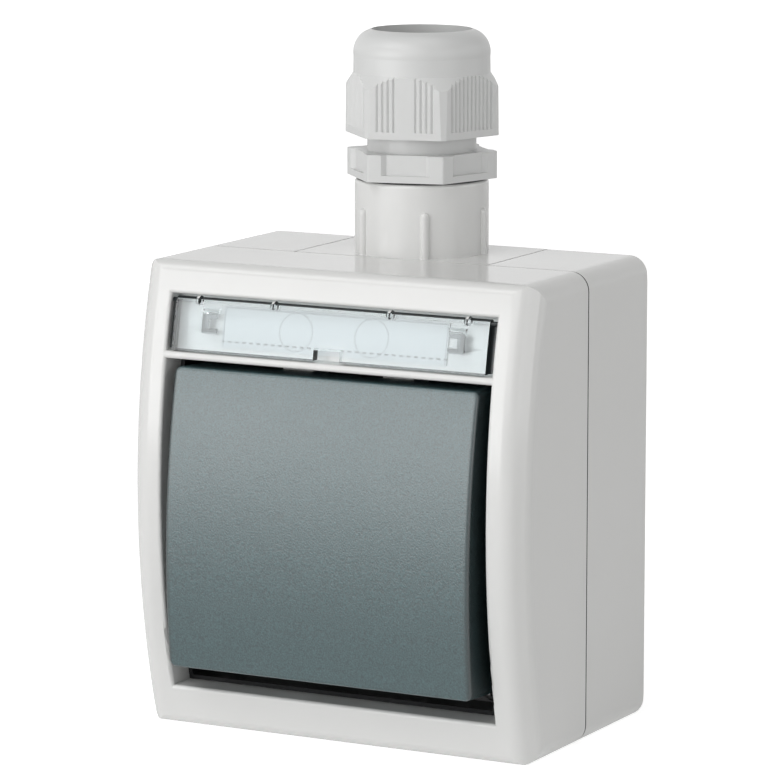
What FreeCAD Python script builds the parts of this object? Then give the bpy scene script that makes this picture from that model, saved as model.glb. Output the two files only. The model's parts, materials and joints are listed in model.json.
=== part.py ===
"""Outdoor weatherproof rocker switch with a cable gland on top, in millimetres.

Frame: the origin is the middle of the back face, which lies on the wall. X runs to the
right as seen from the front, the front faces -Y and +Z is up. Depths count forward from
the wall. Pieces that turn are drawn about their own axis and then placed.
"""
import FreeCAD, Part
import math
import os
import re

import Sketcher

SIZES = [
    ("box_width", 78.4, "back box and cover, side to side"),
    ("bottom_margin", 7.42, "cover's lower edge to the rocker opening"),
    ("top_margin", 5.7, "label opening to the cover's upper edge"),
    ("side_margin", 6.95, "cover's side to the openings"),
    ("box_depth", 24.25, "back box, wall to seam"),
    ("seam_gap", 0.4, "open seam between box and cover"),
    ("corner_radius", 3.4, "long edges of box and cover"),
    ("shell_wall", 2.6, "side walls of the box"),
    ("box_floor", 2.4, "back wall of the box"),
    ("groove_offset", 0.9, "outer surface to gasket groove"),
    ("groove_width", 1.0, "gasket groove"),
    ("groove_depth", 1.6, "gasket groove"),
    ("gasket_play", 0.05, "gasket to groove, each side"),
    ("notch_half", 19.5, "half width of the notch in the top wall"),
    ("insert_play", 0.3, "insert to notch, each side"),
    ("flange_half", 22.0, "half width of the insert's inner flange"),
    ("flange_thick", 2.0, "insert's inner flange"),
    ("slide_play", 0.1, "sliding clearance of the insert"),
    ("spigot_shift", 0.075, "gland's axis in front of the box's middle"),
    ("spigot_wall", 2.05, "wall of the spigot"),
    ("spigot_height", 13.1, "spigot above the box"),
    ("spigot_round", 0.6, "rounding of the spigot's rim"),
    ("rib_radius", 0.8, "half-round ribs on the spigot"),
    ("rib_height", 8.3, "ribs above the box"),
    ("rib_spacing", 62.0, "angle between neighbouring ribs"),
    ("rib_first", -60.0, "direction of the middle rib"),
    ("post_radius", 3.5, "posts for the cover screws"),
    ("post_setback", 0.25, "post ends behind the seam"),
    ("screw_side_margin", 5.25, "opening's side to the cover screws"),
    ("screw_low_margin", 4.08, "opening's lower edge to the lower cover screws"),
    ("screw_high_margin", 4.47, "opening's upper edge to the upper cover screws"),
    ("cover_screw_reach", 21.0, "shank of the cover screws"),
    ("screw_radius", 1.45, "shank radius of cover and mechanism screws"),
    ("thread_play", 0.05, "screw to its pilot hole"),
    ("hole_play", 0.2, "screw to its clearance hole"),
    ("head_radius", 2.7, "cover and mechanism screw heads"),
    ("head_height", 2.0, "cover and mechanism screw heads"),
    ("slot_radius", 2.25, "half width of a wall slot"),
    ("slot_length", 7.0, "wall slot, end to end"),
    ("slot_margin", 6.6, "box wall to the middle of a wall slot"),
    ("seal_margin", 2.0, "wall seal round its slot"),
    ("seal_thick", 1.2, "wall seals and screw seals"),
    ("cover_depth", 25.85, "seam to the cover's face at mid height"),
    ("front_radius", 152.0, "curve of the cover's face"),
    ("front_round", 2.3, "upper and lower front edges of the cover"),
    ("bevel_width", 2.88, "side bevel seen from the front"),
    ("bevel_depth", 3.54, "side bevel seen from the side"),
    ("bevel_soft_front", 1.9, "rounded part of the bevel beside the face"),
    ("bevel_soft_side", 1.0, "rounded part of the bevel beside the cover's side"),
    ("cover_wall", 2.4, "cover walls"),
    ("divider_thick", 1.35, "bar between rocker and label"),
    ("gap_below", 3.23, "rocker to the lower edge of its opening"),
    ("gap_above", 2.62, "rocker to the upper edge of its opening"),
    ("gap_beside", 2.15, "rocker to the sides of its opening"),
    ("label_height", 9.98, "label opening"),
    ("opening_round", 0.62, "rounding of the opening's front edges"),
    ("well_wall", 1.6, "walls of the rocker well"),
    ("well_depth", 16.5, "rocker well behind the face"),
    ("well_floor", 1.6, "floor of the well"),
    ("pocket_depth", 3.2, "label pocket behind the face"),
    ("pocket_wall", 1.77, "wall behind the label pocket"),
    ("window_recess", 0.6, "window behind the face"),
    ("window_thick", 1.6, "clear window"),
    ("window_gap", 0.33, "window to its opening, above and below"),
    ("window_side_gap", 1.25, "window to its opening at the sides"),
    ("nub_rise", 0.25, "retaining nubs above the window's edge"),
    ("nub_width", 1.2, "retaining nubs"),
    ("nub_inner", 11.5, "inner nubs from the middle"),
    ("peg_radius", 0.4, "hinge pegs of the window"),
    ("peg_play", 0.05, "pegs in their dimples"),
    ("peg_reach", 0.5, "pegs into the dimples"),
    ("pry_half", 2.6, "half width of the pry notch"),
    ("pry_height", 1.9, "pry notch"),
    ("clip_half_x", 1.6, "half width of a clip"),
    ("clip_half_z", 2.0, "half height of a clip"),
    ("clip_wall", 0.7, "clip wall"),
    ("clip_inset", 6.6, "window's side to a clip"),
    ("clip_rise", 5.48, "label opening's lower edge to the clips"),
    ("nub_inset", 4.4, "window's side to the outer nubs"),
    ("card_inset", 8.7, "window's side to the card"),
    ("card_rise", 2.08, "label opening's lower edge to the card"),
    ("card_height", 6.0, "label card"),
    ("card_thick", 0.3, "label card"),
    ("rocker_tilt", 3.0, "rocker either side of its middle"),
    ("rocker_reach", 30.5, "pivot to the rocker's face"),
    ("rocker_proud", 2.0, "rocker's face in front of the cover's"),
    ("rocker_half_z", 26.85, "half height of the rocker"),
    ("rocker_side", 11.0, "depth of the rocker's sides"),
    ("rocker_curve", 152.0, "curve of the rocker's face"),
    ("rocker_wall", 2.0, "rocker walls"),
    ("rocker_corner", 1.2, "corners of the rocker"),
    ("rocker_round", 0.7, "front edges of the rocker"),
    ("rib_thick", 1.2, "ribs inside the rocker"),
    ("rib_depth", 5.0, "rocker's face to the back of its ribs"),
    ("brace_x", 18.0, "upright ribs of the rocker from its middle"),
    ("rest_x", 10.0, "rocker's rests and stops from the middle"),
    ("stop_half_x", 3.0, "half width of a stop"),
    ("stop_half_z", 1.0, "half thickness of a stop"),
    ("stop_shift", 0.3, "stops beyond the rocker's edge"),
    ("stop_gap", 0.1, "rocker to its stops"),
    ("axle_radius", 1.55, "stub axles of the carrier"),
    ("axle_play", 0.05, "running clearance of the axles"),
    ("cheek_inner", 10.2, "middle to the inside of a pivot cheek"),
    ("cheek_thick", 2.0, "pivot cheeks"),
    ("cheek_half_z", 4.0, "half height of a cheek"),
    ("carrier_half_x", 9.8, "half width of the carrier"),
    ("carrier_half_z", 4.5, "half height of the carrier"),
    ("neck_radius", 4.5, "carrier's neck through the membrane"),
    ("head_thick", 2.5, "carrier's head plate"),
    ("head_drop", 9.0, "rocker's face to the back of the head plate"),
    ("cradle_front", 7.0, "pivot to the front of the carrier's cradle"),
    ("cradle_back", 2.0, "pivot to the back of the carrier's cradle"),
    ("head_half_x", 13.0, "half width of the head plate"),
    ("head_half_z", 5.0, "half height of the head plate"),
    ("hook_play", 0.15, "rocker's hooks to the head plate"),
    ("hook_thick", 1.4, "rocker's hooks"),
    ("hook_x", 3.5, "hooks from the middle"),
    ("hook_half_x", 1.5, "half width of a hook"),
    ("catch_rise", 0.6, "half thickness of a hook's catch"),
    ("barrel_radius", 2.6, "barrel for the plunger"),
    ("plunger_gap", 0.15, "plunger to the contact bridge"),
    ("plunger_show", 4.62, "plunger outside its barrel"),
    ("plunger_length", 10.12, "plunger"),
    ("spring_room", 1.9, "bore behind the plunger"),
    ("plunger_radius", 1.5, "plunger"),
    ("spring_wire", 0.22, "radius of the spring's wire"),
    ("spring_turns", 4.0, "turns of the plunger spring"),
    ("hatch_half_x", 18.0, "hole in the well floor, half width"),
    ("hatch_half_z", 16.0, "hole in the well floor, half height"),
    ("rim_width", 3.5, "membrane rim round the hole"),
    ("rim_thick", 2.0, "membrane rim"),
    ("sheet_thick", 0.8, "membrane sheet"),
    ("wave_radius", 1.6, "fold in the membrane"),
    ("collar_gap", 1.1, "membrane collar round the neck"),
    ("collar_rise", 2.5, "membrane collar in front of the well floor"),
    ("frame_width", 1.8, "membrane frame outside the rim"),
    ("frame_thick", 1.4, "membrane frame over the rim"),
    ("tray_wall", 0.8, "walls and floor of the membrane frame's tray"),
    ("tray_play", 0.1, "tray to the walls of the rocker well"),
    ("tray_setback", 5.6, "tray's rim behind the cover's face"),
    ("tray_relief", 0.3, "tray's holes round screw seals and stops"),
    ("stake_radius", 1.0, "stakes of the membrane frame"),
    ("base_half_x", 21.0, "half width of the mechanism base"),
    ("base_half_z", 19.5, "half height of the mechanism base"),
    ("base_back", 4.4, "wall to the back of the base"),
    ("base_setback", 5.0, "pivot to the front of the base"),
    ("cavity_half_x", 7.0, "half width of the contact cavity"),
    ("cavity_wall", 2.0, "wall at the ends of the contact cavity"),
    ("base_floor", 1.6, "floor of the base"),
    ("chamber_x", 15.5, "terminal chambers from the middle"),
    ("chamber_half", 4.1, "half size of a terminal chamber"),
    ("terminal_half", 3.8, "half size of a terminal block"),
    ("terminal_height", 7.6, "terminal blocks"),
    ("wire_radius", 1.7, "wire hole of a terminal"),
    ("strip_thick", 0.8, "contact strips"),
    ("strip_half", 3.0, "half width of a contact strip"),
    ("bridge_half", 13.5, "see-saw axis to its contact tips"),
    ("bridge_end", 1.8, "contact bridge beyond its tips"),
    ("bridge_tilt", 6.5, "contact bridge either side of its middle"),
    ("tip_radius", 1.6, "contact tips"),
    ("tip_height", 1.0, "contact tips"),
    ("contact_gap", 0.1, "closed contact tips"),
    ("trunnion_radius", 0.9, "trunnions of the contact bridge"),
    ("trunnion_reach", 4.6, "middle to the end of a trunnion"),
    ("lug_inner", 3.6, "middle to the inside of a see-saw lug"),
    ("lug_half_z", 2.0, "half height of a see-saw lug"),
    ("lug_rise", 1.7, "see-saw lug in front of its axis"),
    ("ear_z", 23.2, "pivot height to the mechanism screws"),
    ("ear_front", 10.0, "wall to the front of the screw ears"),
    ("ear_thick", 2.0, "screw ears of the base"),
    ("ear_half_x", 4.5, "half width of a screw ear"),
    ("ear_half_z", 4.0, "half height of a screw ear"),
    ("ear_wall", 0.8, "wall that carries a screw ear"),
    ("washer_inset", 0.45, "gland washer inside the spigot's outer surface"),
    ("washer_thick", 1.0, "gland washer"),
    ("gland_gap", 0.35, "spigot to the lower hexagon"),
    ("hex_turn", 13.5, "turn of both hexagons"),
    ("hex_height", 4.85, "lower hexagon"),
    ("hex_round", 0.5, "corners of the lower hexagon"),
    ("panel_half", 3.6, "half width of the recess in each flat"),
    ("panel_draft", 0.85, "sloped side of the recess"),
    ("panel_depth", 0.7, "recess in each flat"),
    ("panel_ledge", 1.2, "ledge under the recess"),
    ("shank_play", 0.05, "gland's lower thread to the spigot's bore"),
    ("shank_reach", 11.0, "lower hexagon to the shank's end"),
    ("shank_wall", 1.95, "wall of the gland's lower thread"),
    ("neck_wall", 1.8, "wall of the gland's neck"),
    ("neck_height", 3.3, "neck up to the upper thread"),
    ("upper_wall", 2.1, "wall of the gland's upper thread"),
    ("upper_reach", 8.4, "length of the upper thread"),
    ("seat_step", 0.9, "ledge under the rubber seal"),
    ("seat_depth", 10.5, "depth of the seat"),
    ("seal_play", 0.05, "rubber seal to its seat"),
    ("seal_wall", 2.85, "wall of the rubber seal"),
    ("seal_rise", 2.2, "seal above its seat"),
    ("ring_thick", 1.4, "thrust ring"),
    ("ring_inset", 0.7, "thrust ring inside the upper thread's radius"),
    ("ring_clearance", 1.0, "thrust ring's bore round the seal's bore"),
    ("nut_gap", 2.85, "lower hexagon to the nut"),
    ("nut_play", 0.08, "nut to the upper thread"),
    ("nut_over", 0.7, "nut across flats beyond the lower hexagon"),
    ("corner_trim", 0.27, "turned off the nut's corners"),
    ("nut_height", 8.75, "fluted part of the nut"),
    ("shoulder_height", 2.3, "cone over the fluted part"),
    ("dome_inset", 0.1, "dome inside the nut's flats"),
    ("dome_wall_height", 3.0, "straight part of the dome"),
    ("dome_height", 4.7, "rounded part of the dome"),
    ("mouth_step", 1.3, "open mouth of the nut inside the thrust ring's radius"),
    ("mouth_depth", 4.4, "straight part of the mouth"),
    ("flute_pitch", 1.0, "distance between flutes"),
    ("flute_size", 0.32, "depth of a flute"),
    ("flute_margin", 1.3, "flutes above the nut's edge"),
]

DERIVED = [
    ("half_width", "box_width / 2"),
    ("opening_half", "half_width - side_margin"),
    ("rocker_half_x", "opening_half - gap_beside"),
    ("opening_height", "2 * rocker_half_z + gap_below + gap_above"),
    ("box_height", "bottom_margin + opening_height + divider_thick + label_height + top_margin"),
    ("half_height", "box_height / 2"),
    ("opening_low", "bottom_margin - half_height"),
    ("opening_high", "opening_low + opening_height"),
    ("pivot_z", "opening_low + gap_below + rocker_half_z"),
    ("inner_corner", "max(0.3; corner_radius - shell_wall)"),
    ("cover_corner", "max(0.3; corner_radius - cover_wall)"),
    ("cover_back", "box_depth + seam_gap"),
    ("front_reach", "cover_back + cover_depth"),
    ("drum_y", "front_radius - front_reach"),
    ("bevel_length", "sqrt(bevel_width ^ 2 + bevel_depth ^ 2)"),
    ("bevel_across", "bevel_width / bevel_length"),
    ("bevel_along", "bevel_depth / bevel_length"),
    ("bevel_pull_front", "bevel_soft_front / 2 / (1 + sqrt((1 + bevel_across) / 2))"),
    ("bevel_pull_side", "bevel_soft_side / 2 / (1 + sqrt((1 + bevel_along) / 2))"),
    ("entry_axis", "box_depth / 2 + spigot_shift"),
    ("spigot_radius", "box_depth - entry_axis"),
    ("spigot_bore", "spigot_radius - spigot_wall"),
    ("washer_reach", "spigot_radius - washer_inset"),
    ("shank_radius", "spigot_bore - shank_play"),
    ("body_bore", "shank_radius - shank_wall"),
    ("neck_outer", "body_bore + neck_wall"),
    ("seat_radius", "body_bore + seat_step"),
    ("upper_thread", "seat_radius + upper_wall"),
    ("seal_bore", "seat_radius - seal_play - seal_wall"),
    ("ring_radius", "upper_thread - ring_inset"),
    ("ring_bore", "seal_bore + ring_clearance"),
    ("mouth_radius", "ring_radius - mouth_step"),
    ("hex_flats", "2 * spigot_radius"),
    ("nut_flats", "hex_flats + nut_over"),
    ("nut_corner", "nut_flats / 2 / cos(30) - corner_trim"),
    ("dome_radius", "nut_flats / 2 - dome_inset"),
    ("slot_spacing", "2 * (half_width - shell_wall - slot_margin)"),
    ("label_low", "opening_high + divider_thick"),
    ("label_high", "label_low + label_height"),
    ("pocket_back", "front_reach - label_high ^ 2 / 2 / front_radius - pocket_depth - pocket_wall"),
    ("well_front", "front_reach - well_depth"),
    ("well_back", "well_front - well_floor"),
    ("cover_screw_x", "opening_half - screw_side_margin"),
    ("cover_screw_low", "opening_low + screw_low_margin"),
    ("cover_screw_high", "opening_high - screw_high_margin"),
    ("sheet_radius", "front_radius - window_recess - window_thick / 2"),
    ("hinge_z", "label_high - window_gap - window_thick / 2"),
    ("hinge_y", "drum_y - sqrt(sheet_radius ^ 2 - hinge_z ^ 2)"),
    ("window_half", "opening_half - window_side_gap"),
    ("nub_outer", "window_half - nub_inset"),
    ("clip_x", "window_half - clip_inset"),
    ("clip_z", "label_low + clip_rise"),
    ("card_half", "window_half - card_inset"),
    ("card_low", "label_low + card_rise"),
    ("card_high", "card_low + card_height"),
    ("pivot_depth", "front_reach + rocker_proud - rocker_reach"),
    ("rocker_skirt", "rocker_reach - rocker_side"),
    ("head_back", "rocker_reach - head_drop"),
    ("base_front", "pivot_depth - base_setback"),
    ("plate_low", "half_height - shell_wall"),
    ("flange_high", "plate_low - slide_play"),
    ("flange_low", "flange_high - flange_thick"),
    ("spigot_top", "half_height + spigot_height"),
    ("head_front", "head_back + head_thick"),
    ("strip_front", "base_back + base_floor + strip_thick"),
    ("bridge_swing", "bridge_half * sin(bridge_tilt)"),
    ("bridge_back", "strip_front + 2 * tip_height + contact_gap + bridge_swing"),
    ("bridge_axis", "bridge_back + strip_thick / 2"),
    ("plunger_tip", "pivot_depth - bridge_axis - strip_thick / 2 - plunger_gap"),
    ("barrel_reach", "plunger_tip - plunger_show"),
    ("plunger_root", "plunger_tip - plunger_length"),
    ("hex_low", "spigot_top + gland_gap"),
    ("hex_high", "hex_low + hex_height"),
    ("thread_low", "hex_high + neck_height"),
    ("thread_high", "thread_low + upper_reach"),
    ("seat_low", "thread_high - seat_depth"),
    ("seal_high", "thread_high + seal_rise"),
    ("ring_high", "seal_high + ring_thick"),
    ("nut_low", "hex_high + nut_gap"),
    ("shoulder_low", "nut_low + nut_height"),
    ("shoulder_high", "shoulder_low + shoulder_height"),
    ("dome_low", "shoulder_high + dome_wall_height"),
    ("dome_top", "dome_low + dome_height"),
    ("frame_front", "well_front + rim_thick + frame_thick"),
]

X_AXIS = FreeCAD.Vector(1, 0, 0)
Y_AXIS = FreeCAD.Vector(0, 1, 0)
Z_AXIS = FreeCAD.Vector(0, 0, 1)
SIDES = (("Left", "-"), ("Right", "+"))

doc = FreeCAD.newDocument("OutdoorSwitch")
sheet = doc.addObject("Spreadsheet::Sheet", "Sizes")
ALIASES = set()
NODES = []


def fill_sheet():
    """Driving sizes first, then the cells worked out from them."""
    row = 1
    for alias, value, note in SIZES:
        sheet.set(f"A{row}", note)
        sheet.set(f"B{row}", str(value))
        sheet.setAlias(f"B{row}", alias)
        ALIASES.add(alias)
        row += 1
    for alias, formula in DERIVED:
        sheet.set(f"A{row}", alias.replace("_", " "))
        sheet.set(f"B{row}", f"={formula}")
        sheet.setAlias(f"B{row}", alias)
        ALIASES.add(alias)
        row += 1
    doc.recompute()


def full(text):
    """The same expression with every size read from the sheet."""
    def named(match):
        word = match.group(0)
        return f"Sizes.{word}" if word in ALIASES else word
    return re.sub(r"[a-z_][a-z0-9_]*", named, str(text))


def bind(thing, prop, text):
    thing.setExpression(prop, full(text))


def number(text):
    return float(sheet.evalExpression(full(text)))


def place(thing, x="0", y="0", z="0"):
    for letter, text in (("x", x), ("y", y), ("z", z)):
        bind(thing, f"Placement.Base.{letter}", text)
    return thing


def block(name, x, y, z):
    """Block between a low and a high bound along each axis."""
    solid = doc.addObject("Part::Box", name)
    for prop, (low, high) in (("Length", x), ("Width", y), ("Height", z)):
        bind(solid, prop, f"({high}) - ({low})")
    return place(solid, x[0], y[0], z[0])


def post(name, radius, axis, middle, span):
    """Cylinder along an axis; middle gives the other two coordinates in X, Y, Z order."""
    solid = doc.addObject("Part::Cylinder", name)
    bind(solid, "Radius", radius)
    low, high = span
    bind(solid, "Height", f"({high}) - ({low})")
    first, second = middle
    if axis == "x":
        solid.Placement.Rotation = FreeCAD.Rotation(Y_AXIS, 90)
        return place(solid, low, first, second)
    if axis == "y":
        solid.Placement.Rotation = FreeCAD.Rotation(X_AXIS, -90)
        return place(solid, first, low, second)
    return place(solid, first, second, low)


def ball(name, radius, x, y, z):
    solid = doc.addObject("Part::Sphere", name)
    bind(solid, "Radius", radius)
    return place(solid, x, y, z)


def joined(name, *pieces):
    solid = doc.addObject("Part::MultiFuse", name)
    solid.Shapes = list(pieces)
    solid.Refine = True
    return solid


def common(name, *pieces):
    solid = doc.addObject("Part::MultiCommon", name)
    solid.Shapes = list(pieces)
    solid.Refine = True
    return solid


def carved(name, base, *tools):
    tool = tools[0]
    if len(tools) > 1:
        tool = doc.addObject("Part::MultiFuse", f"{name}Tools")
        tool.Shapes = list(tools)
    solid = doc.addObject("Part::Cut", name)
    solid.Base = base
    solid.Tool = tool
    solid.Refine = True
    return solid


def rounded(name, base, radius, wanted):
    """Fillet on the edges for which wanted(edge) is true."""
    doc.recompute()
    size = number(radius)
    picks = [
        (index, size, size)
        for index, edge in enumerate(base.Shape.Edges, 1)
        if wanted(edge)
    ]
    solid = doc.addObject("Part::Fillet", name)
    solid.Base = base
    solid.Edges = picks
    return solid


def runs_along(edge, direction):
    if not isinstance(edge.Curve, Part.Line):
        return False
    return abs(edge.tangentAt(edge.FirstParameter).dot(direction)) > 0.999


def prism(name, half_x, half_z, radius, y):
    """Rounded rectangle about the Y axis, drawn out along it."""
    bar = block(f"{name}Bar", (f"-({half_x})", half_x), y, (f"-({half_z})", half_z))
    return rounded(name, bar, radius, lambda edge: runs_along(edge, Y_AXIS))


def slot(name, radius, length, x, y, z):
    """Round-ended slot along X, drawn out along Y."""
    reach = f"(({length}) / 2 - ({radius}))"
    middle = block(
        f"{name}Middle",
        (f"{x} - {reach}", f"{x} + {reach}"), y, (f"{z} - ({radius})", f"{z} + ({radius})"),
    )
    left = post(f"{name}Left", radius, "y", (f"{x} - {reach}", z), y)
    right = post(f"{name}Right", radius, "y", (f"{x} + {reach}", z), y)
    return joined(name, middle, left, right)


def drum(name, radius):
    """Full cylinder about the axis of the curved front."""
    return post(name, radius, "x", ("drum_y", "0"), ("-half_width - 2", "half_width + 2"))


def outline(sketch, corners):
    """Closed line through corners, each a pair of expressions. A corner that starts with
    the word arc is a point that the edge to the next corner bends through."""
    stops = [corner for corner in corners if corner[0] != "arc"]
    points = [FreeCAD.Vector(number(a), number(b), 0) for a, b in stops]
    bends = {}
    seen = 0
    for corner in corners:
        if corner[0] == "arc":
            bends[seen - 1] = corner[1:]
        else:
            seen += 1
    starts = []
    ends = []
    for index, point in enumerate(points):
        follower = points[(index + 1) % len(points)]
        if index not in bends:
            starts.append((sketch.addGeometry(Part.LineSegment(point, follower), False), 1))
            ends.append((starts[-1][0], 2))
            continue
        middle = FreeCAD.Vector(number(bends[index][0]), number(bends[index][1]), 0)
        curve = sketch.addGeometry(Part.Arc(point, middle, follower), False)
        begins = sketch.getPoint(curve, 1).distanceToPoint(point) < 1e-6
        starts.append((curve, 1 if begins else 2))
        ends.append((curve, 2 if begins else 1))
        guide = sketch.addGeometry(Part.Point(middle), True)
        pin_down(sketch, guide, 1, *bends[index])
        sketch.addConstraint(Sketcher.Constraint("PointOnObject", guide, 1, curve))
    for index, (first, second) in enumerate(stops):
        curve, end = starts[index]
        last, tail = ends[index - 1]
        sketch.addConstraint(Sketcher.Constraint("Coincident", last, tail, curve, end))
        pin_down(sketch, curve, end, first, second)


def pin_down(sketch, curve, end, first, second):
    for kind, text in (("DistanceX", first), ("DistanceY", second)):
        index = sketch.addConstraint(Sketcher.Constraint(kind, curve, end, number(text)))
        bind(sketch, f"Constraints[{index}]", text)


def origin_plane(body, role):
    return next(item for item in body.Origin.OriginFeatures if item.Role == role)


def drawn(body, name, role, corners):
    sketch = body.newObject("Sketcher::SketchObject", name)
    sketch.AttachmentSupport = [(origin_plane(body, role), "")]
    sketch.MapMode = "FlatFace"
    outline(sketch, corners)
    return sketch


def turned(name, corners, plane="XZ_Plane"):
    """Body turned about its own Z axis, or about Y when drawn on the XY plane; corners are
    pairs of radius and height."""
    body = doc.addObject("PartDesign::Body", name)
    sketch = drawn(body, f"{name}Profile", plane, corners)
    spin = body.newObject("PartDesign::Revolution", f"{name}Turn")
    spin.Profile = sketch
    spin.ReferenceAxis = (sketch, ["V_Axis"])
    spin.Angle = 360
    return body


def face_front(thing, x, depth, z):
    """Turn a piece so that its own Z axis points to the front, at a depth from the wall."""
    thing.Placement.Rotation = FreeCAD.Rotation(X_AXIS, 90)
    return place(thing, x, f"-({depth})", z)


def group(name, pieces):
    bundle = doc.addObject("Part::Compound", name)
    bundle.Links = list(pieces)
    return bundle


def node(label, thing):
    thing.Label = label
    NODES.append(thing)
    return thing


def at_pivot(thing):
    """Place a piece drawn about the rocker's axis, with its top pressed in."""
    thing.Placement.Rotation = FreeCAD.Rotation(FreeCAD.Vector(-1, 0, 0), 3)
    bind(thing, "Placement.Rotation.Angle", "rocker_tilt")
    return place(thing, "0", "-pivot_depth", "pivot_z")


def on_gland_axis(thing):
    return place(thing, "0", "-entry_axis", "0")


def screw(name, head, reach, shank, rise, cross=0.9):
    """Pan-head screw about its own Z axis, the underside of its head at zero."""
    body = turned(name, [
        ("0", rise),
        (f"{head} * 0.55", rise),
        ("arc", f"{head} * 0.93", f"{rise} * 0.66"),
        (head, "0"),
        (shank, "0"),
        (shank, f"-({reach}) + {shank} * 0.8"),
        (f"{shank} * 0.3", f"-({reach})"),
        ("0", f"-({reach})"),
    ])
    body.Label = f"{name}Blank"
    slots = [
        block(f"{name}CrossA", (f"-({head}) * 0.6", f"{head} * 0.6"), ("-0.3", "0.3"),
              (f"{rise} - {cross}", f"{rise} + 1")),
        block(f"{name}CrossB", ("-0.3", "0.3"), (f"-({head}) * 0.6", f"{head} * 0.6"),
              (f"{rise} - {cross}", f"{rise} + 1")),
    ]
    return carved(f"{name}Screw", body, *slots)


def cover_screw_places():
    for side, sign in SIDES:
        for level in ("low", "high"):
            yield f"{side}{level.title()}", f"{sign}cover_screw_x", f"cover_screw_{level}"


def ear_places():
    return (("Upper", "pivot_z + ear_z"), ("Lower", "pivot_z - ear_z"))


def terminal_places():
    """Name, X and Z of the three terminals."""
    return (
        ("Lower", "-chamber_x", "pivot_z - bridge_half"),
        ("Upper", "-chamber_x", "pivot_z + bridge_half"),
        ("Common", "chamber_x", "pivot_z"),
    )


def groove_cutter():
    """Ring that cuts the gasket groove in the box and in the insert."""
    y = ("-box_depth - 1", "-box_depth + groove_depth")
    outer = prism("GrooveOuter", "half_width - groove_offset", "half_height - groove_offset",
                  "max(0.3; corner_radius - groove_offset)", y)
    inset = "groove_offset - groove_width"
    inner = prism("GrooveInner", f"half_width - {inset}", f"half_height - {inset}",
                  f"max(0.2; corner_radius - {inset})", ("-box_depth - 2", "-box_depth + 5"))
    return carved("GrooveRing", outer, inner)


def make_back_box(groove):
    outer = prism("BoxOuter", "half_width", "half_height", "corner_radius", ("-box_depth", "0"))
    inner = prism("BoxInner", "half_width - shell_wall", "half_height - shell_wall",
                  "inner_corner", ("-box_depth - 1", "-box_floor"))
    notch = block("BoxNotch", ("-notch_half", "notch_half"), ("-box_depth - 1", "1"),
                  ("plate_low", "half_height + 1"))
    shell = carved("BoxShell", outer, inner, notch, groove)
    added = []
    cuts = []
    for name, x, z in cover_screw_places():
        added.append(post(f"BoxPost{name}", "post_radius", "y", (x, z),
                          ("-box_depth + post_setback", "-box_floor / 2")))
        cuts.append(post(f"BoxPilot{name}", "screw_radius + thread_play", "y", (x, z),
                         ("-box_depth - 1", "-box_floor - 1")))
    for name, z in ear_places():
        added.append(post(f"BoxEarPost{name}", "head_radius + 0.5", "y", ("0", z),
                          ("-ear_front + ear_thick", "-box_floor / 2")))
        cuts.append(post(f"BoxEarPilot{name}", "screw_radius + thread_play", "y", ("0", z),
                         ("-ear_front", "-box_floor / 2")))
    for side, sign in SIDES:
        cuts.append(slot(f"BoxSlot{side}", "slot_radius", "slot_length",
                         f"({sign}slot_spacing / 2)", ("-box_floor - 1", "1"), "0"))
    solid = joined("BoxWithPosts", shell, *added)
    node("back_box", carved("BackBox", solid, *cuts))


def make_entry_insert(groove):
    plate = block("InsertPlate", ("-notch_half + insert_play", "notch_half - insert_play"),
                  ("-box_depth", "0"), ("plate_low", "half_height"))
    deep = ("-box_depth + post_setback", "-box_floor - slide_play")
    flange = block("InsertFlange", ("-flange_half", "flange_half"), deep,
                   ("flange_low", "flange_high"))
    web = block("InsertWeb", ("-notch_half + insert_play", "notch_half - insert_play"), deep,
                ("flange_low", "plate_low + 1"))
    tube = post("InsertTube", "spigot_radius", "z", ("0", "-entry_axis"),
                ("half_height", "spigot_top"))
    rim_height = number("spigot_top") - 0.01
    tube = rounded("InsertSpigot", tube, "spigot_round",
                   lambda edge: edge.BoundBox.ZMin > rim_height)
    ribs = []
    for end, turn in (("Front", "0"), ("Back", "180")):
        for index in (-1, 0, 1):
            angle = f"(rib_first + {turn} + {index} * rib_spacing)"
            name = f"InsertRib{end}{index + 2}"
            middle = (f"spigot_radius * cos({angle})", f"spigot_radius * sin({angle}) - entry_axis")
            ribs.append(post(name, "rib_radius", "z", middle,
                             ("half_height", "half_height + rib_height - rib_radius")))
            ribs.append(ball(f"{name}End", "rib_radius", *middle,
                             "half_height + rib_height - rib_radius"))
    solid = joined("InsertSolid", plate, flange, web, tube, *ribs)
    bore = post("InsertBore", "spigot_bore", "z", ("0", "-entry_axis"),
                ("flange_low - 1", "spigot_top + 1"))
    node("entry_insert", carved("EntryInsert", solid, bore, groove))


def make_cover_gasket():
    y = ("-cover_back", "-box_depth + groove_depth")
    outset = "groove_offset + gasket_play"
    inset = "groove_offset + groove_width - gasket_play"
    outer = prism("GasketOuter", f"half_width - ({outset})", f"half_height - ({outset})",
                  f"max(0.3; corner_radius - ({outset}))", y)
    inner = prism("GasketInner", f"half_width - ({inset})", f"half_height - ({inset})",
                  f"max(0.2; corner_radius - ({inset}))", ("-cover_back - 1", "0"))
    node("cover_gasket", carved("CoverGasket", outer, inner))


def make_wall_screw_seals():
    seals = []
    for side, sign in SIDES:
        x = f"({sign}slot_spacing / 2)"
        rim = slot(f"WallSealRim{side}", "slot_radius + seal_margin",
                   "slot_length + 2 * seal_margin", x, ("-box_floor - seal_thick", "-box_floor"), "0")
        hole = slot(f"WallSealHole{side}", "slot_radius", "slot_length", x,
                    ("-box_floor - seal_thick - 1", "0"), "0")
        seals.append(carved(f"WallSeal{side}", rim, hole))
    node("wall_screw_seals", group("WallScrewSeals", seals))


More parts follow.
